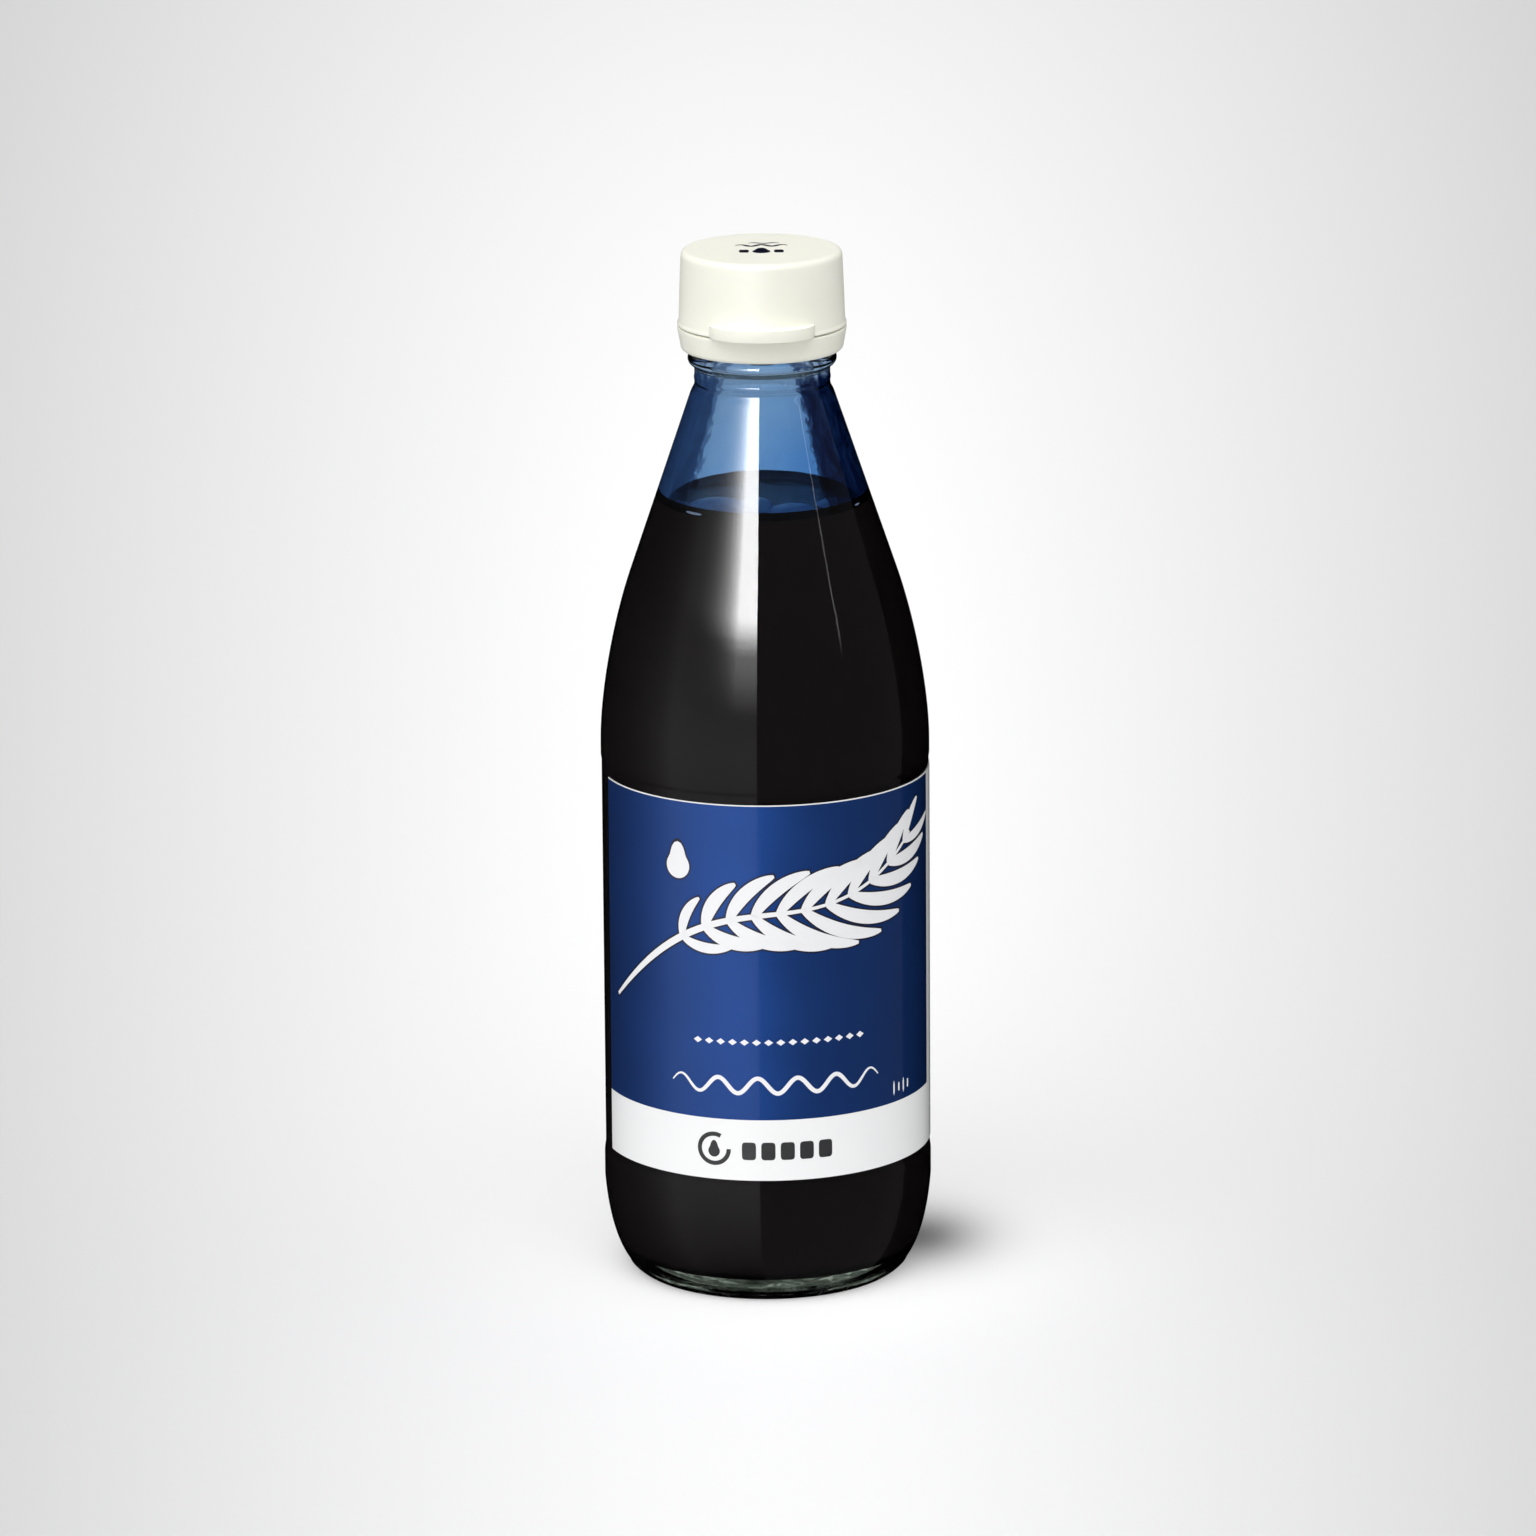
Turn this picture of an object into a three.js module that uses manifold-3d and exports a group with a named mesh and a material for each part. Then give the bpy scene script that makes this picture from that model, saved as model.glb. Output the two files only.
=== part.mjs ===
// A tall glass ink bottle with a wrap-round label and a press-on flip-top pouring cap.
// Millimetres, +Z up, origin on the bottle's axis at the foot, -Y is the front with the thumb tab.
import * as THREE from "three";
import { mergeVertices } from "three/addons/utils/BufferGeometryUtils.js";
import Module from "manifold-3d";

const wasm = await Module();
wasm.setup();

// Glass body, from the foot upwards
const panelRadius = 31.35; // the body's radius under the label
const lowerBumperProud = 0.45; // bands above and below the label that keep it from rubbing
const upperBumperProud = 0.15;
const heelBelowPanel = 0.15; // how much narrower the heel's top is than the panel
const wall = 2.6;
const baseThickness = 5.0;
const pushUp = 2.6; // rise of the hollow under the base
const footInset = 6.35; // from the panel in to the outer edge of the foot ring
const footWidth = 2.0; // flat ring that the bottle stands on
const heelHeight = 15.4;
const lowerBumperHeight = 6.6;
const bumperStep = 1.2; // height of the slope that leads into or out of a bumper
const panelHeight = 76.8;
const upperBumperHeight = 2.1;
const shoulderHeight = 33.5; // curved part of the shoulder
const coneHeight = 33.0; // straight part of the shoulder
const coneSlope = 0.339; // radius lost per millimetre of height
const throatHeight = 6.0; // blend from the cone into the neck
const throatWidening = 1.4; // how much wider the cone's top is than the neck
const neckRadius = 12.9;
const neckHeight = 1.1; // plain neck under the transfer bead
const transferBeadHeight = 3.0;
const transferBeadProud = 1.25;

// Roundings of the glass body
const heelFlare = { out: 3.9, up: 2.2 }; // how the heel leaves the foot ring
const heelEase = { in: 0.6, down: 6.2 }; // how it meets the lower bumper
const shoulderEase = 9.5; // upright run at the start of the shoulder
const coneEase = 10.0; // straight run at its end
const throatEase = 2.0;
const boreEase = 3.0;
const cornerInset = 3.0; // inner corner over the base
const cornerHeight = 9.0;
const cornerEase = { out: 2.0, up: 3.0 };

// The glass finish that the closure snaps on to
const finishStep = 0.3; // how much narrower the finish is than the neck
const finishWall = 3.0;
const finishNeckHeight = 2.4; // groove that the closure's hook sits in
const lockBeadProud = 0.9;
const lockBeadHeight = 1.8;
const lockRampHeight = 1.2;
const mouthHeight = 1.6; // from the top of the lock bead to the mouth
const mouthChamfer = 0.5;

// Contents and label
const headspace = 36.2; // air between the ink and the mouth
const labelMargin = 1.35; // bare panel above and below the label
const labelThickness = 0.12;
const labelStandOff = 0.05;
const labelStart = -72; // degrees round from the front, counted towards +X
const labelSweep = 300;

// Closure: collar with plug and spout
const gap = 0.3; // clearance between neighbouring pieces
const hookProud = 0.6; // how far the hook reaches under the lock bead
const hookHeight = 1.5;
const collarWall = 2.25;
const collarBelow = 4.5; // collar height under the seam with the lid
const seamAboveLock = 1.1; // seam height over the underside of the lock bead
const collarRound = { in: 1.75, out: 0.7, down: 2.0 }; // rounding of the collar's lower edge
const collarLand = 0.4; // upright edge at the seam
const collarNeckWall = 0.6;
const deckThickness = 1.2;
const plugWall = 1.0;
const plugDepth = 5.5; // how far the plug reaches down the bore
const plugLead = { in: 0.4, up: 0.6 }; // taper that guides the plug into the bore
const spoutHeight = 6.5;
const spoutWall = 1.3;
const lipHeight = 1.4;
const lipFlare = 1.1;
const lipEdge = 0.3;

// Closure: tear-off seal
const sealThickness = 1.0;
const pullRingWire = 0.8;
const pullRingInset = 2.7; // from the spout bore in to the middle of the pull ring
const pullRingDrop = 4.0; // from the spout lip down to the pull ring
const postRadius = 1.0;

// Closure: lid, thumb tab and hinge
const lidWall = 1.3;
const lipClearance = 3.0; // from the spout lip up to the lid's ceiling
const lidTaper = 0.45; // how much narrower the lid is at its top edge
const lidEdge = 1.6; // rounding of the lid's top edge
const lidBead = { height: 0.5, fade: 0.4, proud: 0.1 }; // proud line round the rim
const ceilingEase = { in: 0.6, down: 0.8, draft: 0.2 }; // inner corner of the lid
const sealRingWall = 0.9;
const sealRingGrip = 1.0; // how far the lid's seal ring reaches into the spout
const swingClearance = 0.15;
const tabReach = 2.3;
const tabHeight = 3.0;
const tabHalfAngle = 36;
const tabCorner = 6; // degrees taken up by each rounded end
const tabLift = 0.4; // from the lid's rim up to the tab
const hingePadWidth = 19.0; // flat on the back of collar and lid that carries the straps
const hingePadHeight = 2.6;
const strapThickness = 0.4;
const strapHeight = 4.0;
const sideStrapWidth = 4.0;
const middleStrapWidth = 6.0;
const strapSpacing = 6.8;

// Facets
const bottleFacets = 52;
const closureFacets = 44;
const curveSteps = 5;

// Heights of the glass
const bumperBottom = heelHeight + bumperStep;
const bumperTop = bumperBottom + lowerBumperHeight;
const panelBottom = bumperTop + bumperStep;
const panelTop = panelBottom + panelHeight;
const upperBumperBottom = panelTop + bumperStep;
const shoulderBottom = upperBumperBottom + upperBumperHeight;
const coneBottom = shoulderBottom + shoulderHeight;
const coneTop = coneBottom + coneHeight;
const neckBottom = coneTop + throatHeight;
const transferBottom = neckBottom + neckHeight;
const transferTop = transferBottom + transferBeadHeight;
const lockRampBottom = transferTop + finishNeckHeight;
const lockBeadBottom = lockRampBottom + lockRampHeight;
const lockBeadTop = lockBeadBottom + lockBeadHeight;
const mouthTop = lockBeadTop + mouthHeight;

// Radii of the glass
const heelRadius = panelRadius - heelBelowPanel;
const bumperRadius = panelRadius + lowerBumperProud;
const shoulderRadius = panelRadius + upperBumperProud;
const footOuterRadius = panelRadius - footInset;
const footInnerRadius = footOuterRadius - footWidth;
const coneTopRadius = neckRadius + throatWidening;
const coneBottomRadius = coneTopRadius + coneSlope * coneHeight;
const finishRadius = neckRadius - finishStep;
const lockBeadRadius = finishRadius + lockBeadProud;
const boreRadius = finishRadius - finishWall;

// Levels and radii of the closure
const seam = lockBeadBottom + seamAboveLock;
const skirtRadius = lockBeadRadius + gap;
const collarRadius = skirtRadius + collarWall;
const collarNeckRadius = skirtRadius + collarNeckWall;
const deckBottom = mouthTop + gap;
const deckTop = deckBottom + deckThickness;
const plugRadius = boreRadius - gap;
const spoutBore = plugRadius - plugWall;
const spoutRadius = spoutBore + spoutWall;
const plugBottom = mouthTop - plugDepth;
const lipTop = deckTop + spoutHeight;
const lidRim = seam + gap;
const ceiling = lipTop + lipClearance;
const lidTop = ceiling + lidWall;
const hingeBack = collarRadius + gap + strapThickness / 2; // the straps' middle, behind the axis
const hingeHeight = seam + gap / 2;

const at = (r, z) => new THREE.Vector2(r, z);

function curve(from, handleA, handleB, to) {
  return new THREE.CubicBezierCurve(from, handleA, handleB, to).getPoints(curveSteps);
}

// Turns a closed outline of (radius, height) points round the vertical axis.
function revolve(outline, facets) {
  const points = outline.filter((p, i) => i === 0 || p.distanceTo(outline[i - 1]) > 1e-6);
  return new THREE.LatheGeometry(points, facets).rotateX(Math.PI / 2);
}

function coneRadius(z) {
  return coneTopRadius + coneSlope * (coneTop - z);
}

// The curve of the shoulder and the cone's lower end, moved inwards by inset.
function shoulder(inset) {
  return curve(
    at(shoulderRadius - inset, shoulderBottom),
    at(shoulderRadius - inset, shoulderBottom + shoulderEase),
    at(coneRadius(coneBottom - coneEase) - inset, coneBottom - coneEase),
    at(coneBottomRadius - inset, coneBottom),
  );
}

// Surface of the hollow, from the middle of its floor up to the mouth, moved inwards by inset.
function hollow(inset) {
  const floor = baseThickness + inset;
  const side = panelRadius - wall - inset;
  const corner = side - cornerInset;
  const bore = boreRadius - inset;
  return [
    at(0, floor + pushUp),
    ...curve(
      at(footInnerRadius * 0.45, floor + pushUp * 0.9),
      at(footInnerRadius * 0.75, floor + pushUp * 0.7),
      at(corner - cornerEase.out, floor),
      at(corner, floor),
    ),
    ...curve(
      at(corner, floor),
      at(corner + cornerEase.out, floor),
      at(side, floor + cornerEase.up),
      at(side, floor + cornerHeight),
    ),
    ...shoulder(wall + inset),
    ...curve(
      at(coneTopRadius - wall - inset, coneTop),
      at(coneRadius(coneTop + boreEase) - wall - inset, coneTop + boreEase),
      at(bore, transferBottom - boreEase),
      at(bore, transferTop),
    ),
  ];
}

// The rounded ring under the closure, by which the glass is handled while hot.
function transferBead() {
  const middle = (transferBottom + transferTop) / 2;
  const crest = neckRadius + transferBeadProud;
  const round = transferBeadHeight / 6;
  return [
    at(crest - round, transferBottom + round),
    at(crest, middle - round),
    at(crest, middle + round),
    at(crest - round, transferTop - round),
    at(finishRadius, transferTop),
  ];
}

function bottleOutside() {
  return [
    at(footInnerRadius, 0),
    ...curve(
      at(footOuterRadius, 0),
      at(footOuterRadius + heelFlare.out, heelFlare.up),
      at(heelRadius - heelEase.in, heelHeight - heelEase.down),
      at(heelRadius, heelHeight),
    ),
    at(bumperRadius, bumperBottom),
    at(bumperRadius, bumperTop),
    at(panelRadius, panelBottom),
    at(panelRadius, panelTop),
    at(shoulderRadius, upperBumperBottom),
    ...shoulder(0),
    ...curve(
      at(coneTopRadius, coneTop),
      at(coneRadius(coneTop + throatEase), coneTop + throatEase),
      at(neckRadius, neckBottom - throatEase),
      at(neckRadius, neckBottom),
    ),
    at(neckRadius, transferBottom),
    ...transferBead(),
    at(finishRadius, lockRampBottom),
    at(lockBeadRadius, lockBeadBottom),
    at(lockBeadRadius, lockBeadTop),
    at(finishRadius, mouthTop - mouthChamfer),
    at(finishRadius - mouthChamfer, mouthTop),
  ];
}

function glassBottle() {
  const underside = [
    at(0, pushUp),
    at(footInnerRadius * 0.5, pushUp * 0.9),
    at(footInnerRadius * 0.85, pushUp * 0.4),
  ];
  const mouth = [at(boreRadius + mouthChamfer, mouthTop), at(boreRadius, mouthTop - mouthChamfer)];
  return revolve([...underside, ...bottleOutside(), ...mouth, ...hollow(0).reverse()], bottleFacets);
}

// The ink follows the hollow up to its own level.
function inkFill() {
  const level = mouthTop - headspace;
  const surface = hollow(gap);
  const above = surface.findIndex((p) => p.y > level);
  const share = (level - surface[above - 1].y) / (surface[above].y - surface[above - 1].y);
  const edge = surface[above - 1].clone().lerp(surface[above], share);
  return revolve([...surface.slice(0, above), edge, at(0, level)], bottleFacets);
}

// A band round the panel, which starts at labelStart and runs by +X round the back.
function wrapLabel() {
  const inner = panelRadius + labelStandOff;
  const outer = inner + labelThickness;
  const start = THREE.MathUtils.degToRad(labelStart - 90);
  const end = start + THREE.MathUtils.degToRad(labelSweep);
  const band = new THREE.Shape();
  band.absarc(0, 0, outer, start, end, false);
  band.absarc(0, 0, inner, end, start, true);
  const height = panelHeight - 2 * labelMargin;
  const steps = Math.round((bottleFacets * labelSweep) / 360);
  const geometry = new THREE.ExtrudeGeometry(band, { depth: height, bevelEnabled: false, curveSegments: steps });
  return geometry.translate(0, 0, panelBottom + labelMargin);
}

// A closed mesh with its shared vertices merged, as a solid that can be joined.
function solid(geometry) {
  const bare = geometry.clone().deleteAttribute("normal").deleteAttribute("uv");
  const merged = mergeVertices(bare, 1e-4);
  return new wasm.Manifold(
    new wasm.Mesh({
      numProp: 3,
      vertProperties: merged.attributes.position.array,
      triVerts: new Uint32Array(merged.index.array),
    }),
  );
}

function join(...geometries) {
  const joined = geometries.map(solid).reduce((whole, piece) => whole.add(piece));
  const mesh = joined.getMesh();
  const geometry = new THREE.BufferGeometry();
  geometry.setAttribute("position", new THREE.BufferAttribute(mesh.vertProperties, 3));
  geometry.setIndex(new THREE.BufferAttribute(mesh.triVerts, 1));
  return geometry;
}

function collarShell() {
  const collarBottom = seam - collarBelow;
  const hookRadius = skirtRadius - hookProud;
  const hookTop = lockBeadBottom - gap;
  const hookBottom = hookTop - hookHeight;
  return revolve(
    [
      at(skirtRadius, collarBottom),
      ...curve(
        at(collarRadius - collarRound.in, collarBottom),
        at(collarRadius - collarRound.out, collarBottom + collarRound.out),
        at(collarRadius, seam - collarRound.down),
        at(collarRadius, seam - collarLand),
      ),
      at(collarRadius, seam),
      at(collarNeckRadius, seam),
      at(collarNeckRadius, deckTop - lipEdge),
      at(collarNeckRadius - lipEdge, deckTop),
      at(spoutRadius, deckTop),
      at(spoutRadius, lipTop - lipHeight),
      at(spoutRadius + lipFlare, lipTop - lipEdge),
      at(spoutRadius + lipFlare - lipEdge, lipTop),
      at(spoutBore + lipFlare, lipTop),
      at(spoutBore, lipTop - lipHeight),
      at(spoutBore, plugBottom),
      at(plugRadius - plugLead.in, plugBottom),
      at(plugRadius, plugBottom + plugLead.up),
      at(plugRadius, deckBottom),
      at(skirtRadius, deckBottom),
      at(skirtRadius, hookTop),
      at(hookRadius, hookTop - hookHeight / 3),
      at(hookRadius, hookBottom + hookHeight / 3),
      at(skirtRadius, hookBottom),
      at(skirtRadius, collarBottom),
    ],
    closureFacets,
  );
}

// The flat on the back of a round wall, from bottom to top, that hinge straps are moulded to.
function hingePad(rootRadius, bottom, top) {
  const half = hingePadWidth / 2;
  const rootAngle = Math.acos(half / rootRadius);
  const plan = new THREE.Shape();
  plan.moveTo(half, collarRadius);
  plan.lineTo(-half, collarRadius);
  plan.absarc(0, 0, rootRadius, Math.PI - rootAngle, rootAngle, true);
  const pad = new THREE.ExtrudeGeometry(plan, { depth: top - bottom, bevelEnabled: false, curveSegments: 8 });
  return pad.translate(0, 0, bottom);
}

// Collar, plug and pouring spout are one moulding.
function closureCollar() {
  const rootRadius = (skirtRadius + collarRadius) / 2;
  return join(collarShell(), hingePad(rootRadius, seam - hingePadHeight, seam));
}

// The membrane that closes the plug until first use, with the ring that a finger pulls.
function tearOffSeal() {
  const bottom = plugBottom + plugLead.up;
  const top = bottom + sealThickness;
  const edge = spoutBore - gap;
  const ringRadius = spoutBore - pullRingInset;
  const ringHeight = lipTop - pullRingDrop;
  const postBottom = bottom + sealThickness / 2;
  const membrane = revolve([at(0, bottom), at(edge, bottom), at(edge, top), at(0, top)], closureFacets);
  const post = new THREE.CylinderGeometry(postRadius, postRadius, ringHeight - postBottom, 10)
    .rotateX(Math.PI / 2)
    .translate(0, ringRadius, (postBottom + ringHeight) / 2);
  const ring = new THREE.TorusGeometry(ringRadius, pullRingWire, 8, 28).translate(0, 0, ringHeight);
  return join(membrane, post, ring);
}

// Smallest bore with which the lid's rim swings past the collar's neck.
function lidBore() {
  const neckCorner = Math.hypot(collarNeckRadius + hingeBack, deckTop - hingeHeight);
  return Math.max(collarNeckRadius + gap, neckCorner - hingeBack + swingClearance);
}

// Largest seal ring that swings out of the spout past the back of its lip.
function sealRingRadius() {
  const lipCorner = Math.hypot(hingeBack - spoutBore - lipFlare, lipTop - hingeHeight);
  const ringBottom = lipTop - sealRingGrip - hingeHeight;
  const reach = Math.sqrt((lipCorner + swingClearance) ** 2 - ringBottom ** 2);
  return Math.min(hingeBack - reach, spoutBore - gap);
}

function lidShell() {
  const topRadius = collarRadius - lidTaper;
  const bore = lidBore();
  const ringOuter = sealRingRadius();
  const ringBottom = lipTop - sealRingGrip;
  return revolve(
    [
      at(0, ceiling),
      at(ringOuter - sealRingWall, ceiling),
      at(ringOuter - sealRingWall, ringBottom),
      at(ringOuter, ringBottom),
      at(ringOuter, ceiling),
      at(bore - ceilingEase.in, ceiling),
      at(bore - ceilingEase.draft, ceiling - ceilingEase.down),
      at(bore, lidRim),
      at(collarRadius, lidRim),
      at(collarRadius, lidRim + lidBead.height),
      at(collarRadius - lidBead.proud, lidRim + lidBead.height + lidBead.fade),
      ...curve(
        at(topRadius, lidTop - lidEdge),
        at(topRadius, lidTop - lidEdge / 2),
        at(topRadius - lidEdge / 2, lidTop),
        at(topRadius - lidEdge, lidTop),
      ),
      at(0, lidTop),
    ],
    closureFacets,
  );
}

// The lip under the front of the lid that a thumb pushes up.
function thumbTab() {
  const root = collarRadius - lidWall / 2;
  const reach = collarRadius + tabReach;
  const neck = collarRadius + tabReach / 3;
  const front = -Math.PI / 2;
  const half = THREE.MathUtils.degToRad(tabHalfAngle);
  const corner = THREE.MathUtils.degToRad(tabCorner);
  const round = (radius, angle) => [radius * Math.cos(front + angle), radius * Math.sin(front + angle)];
  const plan = new THREE.Shape();
  plan.moveTo(...round(root, -half));
  plan.lineTo(...round(neck, -half));
  plan.quadraticCurveTo(...round(reach, -half), ...round(reach, -half + corner));
  plan.absarc(0, 0, reach, front - half + corner, front + half - corner, false);
  plan.quadraticCurveTo(...round(reach, half), ...round(neck, half));
  plan.lineTo(...round(root, half));
  plan.absarc(0, 0, root, front + half, front - half, true);
  const slab = new THREE.ExtrudeGeometry(plan, { depth: tabHeight, bevelEnabled: false, curveSegments: 10 });
  return slab.translate(0, 0, lidRim + tabLift);
}

function flipLid() {
  const rootRadius = (lidBore() + collarRadius) / 2;
  return join(lidShell(), thumbTab(), hingePad(rootRadius, lidRim, lidRim + hingePadHeight));
}

// A thin flat web behind the two pads, which bends where collar and lid meet.
function hingeStrap(width, across) {
  const web = new THREE.BoxGeometry(width, strapThickness, strapHeight);
  return web.translate(across, hingeBack, hingeHeight);
}

const glass = new THREE.MeshStandardMaterial({ color: 0xdce9e6, roughness: 0.03, transparent: true, opacity: 0.4 });
const ink = new THREE.MeshStandardMaterial({ color: 0x0b0e1c, roughness: 0.05 });
const film = new THREE.MeshStandardMaterial({ color: 0x1d3f86, roughness: 0.3 });
const plastic = new THREE.MeshStandardMaterial({ color: 0xf3f2e4, roughness: 0.38 });

const inkBottle = new THREE.Group();

function place(name, geometry, material) {
  const mesh = new THREE.Mesh(geometry, material);
  mesh.name = name;
  inkBottle.add(mesh);
}

place("glass_bottle", glassBottle(), glass);
place("ink_fill", inkFill(), ink);
place("wrap_label", wrapLabel(), film);
place("closure_collar", closureCollar(), plastic);
place("tear_off_seal", tearOffSeal(), plastic);
place("flip_lid", flipLid(), plastic);
place("hinge_strap_left", hingeStrap(sideStrapWidth, -strapSpacing), plastic);
place("hinge_strap_middle", hingeStrap(middleStrapWidth, 0), plastic);
place("hinge_strap_right", hingeStrap(sideStrapWidth, strapSpacing), plastic);

export default inkBottle;
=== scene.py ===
import math

import bpy
from mathutils import Matrix, Vector


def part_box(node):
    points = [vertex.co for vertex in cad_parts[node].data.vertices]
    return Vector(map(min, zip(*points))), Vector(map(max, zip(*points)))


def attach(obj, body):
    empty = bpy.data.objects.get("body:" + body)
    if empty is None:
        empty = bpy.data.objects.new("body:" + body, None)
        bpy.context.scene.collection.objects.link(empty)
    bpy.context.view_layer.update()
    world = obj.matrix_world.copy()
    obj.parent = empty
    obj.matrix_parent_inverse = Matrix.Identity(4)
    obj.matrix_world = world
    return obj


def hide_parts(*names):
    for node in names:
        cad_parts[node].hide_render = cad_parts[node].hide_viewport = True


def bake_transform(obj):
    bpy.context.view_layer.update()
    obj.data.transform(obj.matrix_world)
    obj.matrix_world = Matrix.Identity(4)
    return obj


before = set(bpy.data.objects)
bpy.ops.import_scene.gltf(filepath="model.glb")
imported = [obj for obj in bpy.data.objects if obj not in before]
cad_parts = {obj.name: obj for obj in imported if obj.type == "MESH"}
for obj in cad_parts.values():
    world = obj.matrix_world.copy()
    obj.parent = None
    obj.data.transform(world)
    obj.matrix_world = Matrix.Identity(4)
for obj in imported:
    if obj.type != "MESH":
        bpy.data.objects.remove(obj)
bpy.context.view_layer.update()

mm = 0.001

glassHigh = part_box("glass_bottle")[1] / mm
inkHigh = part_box("ink_fill")[1] / mm
labelLow, labelHigh = (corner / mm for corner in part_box("wrap_label"))
collarLow, collarHigh = (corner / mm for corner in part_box("closure_collar"))
sealLow, sealHigh = (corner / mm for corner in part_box("tear_off_seal"))
lidLow, lidHigh = (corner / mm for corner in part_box("flip_lid"))
print("frame loaded:", len(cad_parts), "nodes")


def clearSelection():
    if bpy.context.object and bpy.context.object.mode != "OBJECT":
        bpy.ops.object.mode_set(mode="OBJECT")
    bpy.ops.object.select_all(action="DESELECT")


def startPiece(name):
    # the fresh primitive takes its name, and its place goes into its mesh
    piece = bpy.context.object
    piece.name = name
    piece.data.name = name
    bpy.ops.object.transform_apply(location=True, rotation=True, scale=True)
    return piece


def only(piece):
    clearSelection()
    piece.select_set(True)
    bpy.context.view_layer.objects.active = piece


def editAll(piece):
    # leaves the piece in edit mode with all of it selected
    only(piece)
    bpy.ops.object.mode_set(mode="EDIT")
    bpy.ops.mesh.select_all(action="SELECT")


def modify(piece, kind, **settings):
    only(piece)
    modifier = piece.modifiers.new(kind.lower(), kind)
    for setting, value in settings.items():
        setattr(modifier, setting, value)
    bpy.ops.object.modifier_apply(modifier=modifier.name)


def smooth(piece, angle=35):
    only(piece)
    bpy.ops.object.shade_smooth_by_angle(angle=math.radians(angle))


def bezier(start, handleA, handleB, end, steps=10):
    points = []
    for step in range(steps + 1):
        t = step / steps
        weights = ((1 - t) ** 3, 3 * t * (1 - t) ** 2, 3 * t * t * (1 - t), t**3)
        corners = (start, handleA, handleB, end)
        points.append(tuple(sum(w * p[i] for w, p in zip(weights, corners)) for i in (0, 1)))
    return points


def ease(start, end, steps=5):
    # a soft step from one radius to another while the height rises
    middle = (start[1] + end[1]) / 2
    return bezier(start, (start[0], middle), (end[0], middle), end, steps)


def rounded(before, corner, after, radius, steps=4):
    # replaces one corner of an outline with a small round of that radius
    def towards(a, b):
        length = math.dist(a, b)
        share = min(radius / length, 0.45)
        return (a[0] + (b[0] - a[0]) * share, a[1] + (b[1] - a[1]) * share)

    start, end = towards(corner, before), towards(corner, after)
    return bezier(start, corner, corner, end, steps)


def turnOutline(name, outline, facets):
    # draws a ring out along an outline of (radius, height) in millimetres, as on a lathe
    clearSelection()
    axisRadius = 1e-4
    rings = [outline[0]]
    for point in outline[1:]:
        if math.dist(point, rings[-1]) > 0.004:
            rings.append(point)
    startsOnAxis, endsOnAxis = rings[0][0] < axisRadius, rings[-1][0] < axisRadius
    firstCentre, lastCentre = rings[0], rings[-1]
    rings = [p for p in rings if p[0] >= axisRadius]
    radius, height = rings[0]
    bpy.ops.mesh.primitive_circle_add(vertices=facets, radius=radius * mm, location=(0, 0, height * mm))
    piece = startPiece(name)
    editAll(piece)
    for nextRadius, nextHeight in rings[1:]:
        drawRing(nextHeight - height)
        if abs(nextRadius - radius) > 1e-6:
            share = nextRadius / radius
            bpy.ops.transform.resize(value=(share, share, 1), center_override=(0, 0, 0))
        radius, height = nextRadius, nextHeight
    if endsOnAxis:
        drawRing(lastCentre[1] - height)
        bpy.ops.mesh.merge(type="CENTER")
    if startsOnAxis:
        bpy.ops.mesh.select_all(action="DESELECT")
        bpy.ops.mesh.select_non_manifold(
            extend=False, use_wire=False, use_multi_face=False, use_non_contiguous=False, use_verts=False
        )
        drawRing(firstCentre[1] - rings[0][1])
        bpy.ops.mesh.merge(type="CENTER")
    closeShell()
    return piece


def shapedGrid(name, columns, rows, place):
    # a grid whose corners go where "place" puts them, for shares across and up from 0 to 1
    clearSelection()
    bpy.ops.mesh.primitive_grid_add(x_subdivisions=columns, y_subdivisions=rows, size=1)
    piece = startPiece(name)
    for vertex in piece.data.vertices:
        vertex.co = Vector(place(vertex.co.x + 0.5, vertex.co.y + 0.5)) * mm
    return piece


def selectFaces(piece, wanted):
    # leaves the piece in edit mode with just the wanted faces selected
    only(piece)
    bpy.ops.object.mode_set(mode="EDIT")
    bpy.ops.mesh.select_mode(type="FACE")
    bpy.ops.mesh.select_all(action="DESELECT")
    bpy.ops.object.mode_set(mode="OBJECT")
    for polygon in piece.data.polygons:
        polygon.select = wanted(polygon.center / mm)
    bpy.ops.object.mode_set(mode="EDIT")


def leaveFaces():
    bpy.ops.mesh.select_mode(type="VERT")
    bpy.ops.object.mode_set(mode="OBJECT")


def drawRing(rise):
    bpy.ops.mesh.extrude_region_move(TRANSFORM_OT_translate={"value": (0, 0, rise * mm)})


def closeShell():
    if bpy.context.object.mode != "EDIT":
        bpy.ops.object.mode_set(mode="EDIT")
    bpy.ops.mesh.select_all(action="SELECT")
    bpy.ops.mesh.remove_doubles(threshold=1e-6)
    bpy.ops.mesh.normals_make_consistent(inside=False)
    bpy.ops.object.mode_set(mode="OBJECT")


def joinPieces(name, pieces):
    only(pieces[0])
    for other in pieces[1:]:
        other.select_set(True)
    if len(pieces) > 1:
        bpy.ops.object.join()
    pieces[0].name = name
    pieces[0].data.name = name
    return pieces[0]


def finishPiece(piece, material, body="bottle", replaced=()):
    if material:
        piece.data.materials.clear()
        piece.data.materials.append(material)
    if body:
        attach(piece, body)
    if replaced:
        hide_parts(*replaced)


def newMaterial(name):
    material = bpy.data.materials.new(name)
    material.use_nodes = True
    nodes, links = material.node_tree.nodes, material.node_tree.links
    return material, nodes, links, nodes["Principled BSDF"]


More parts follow.
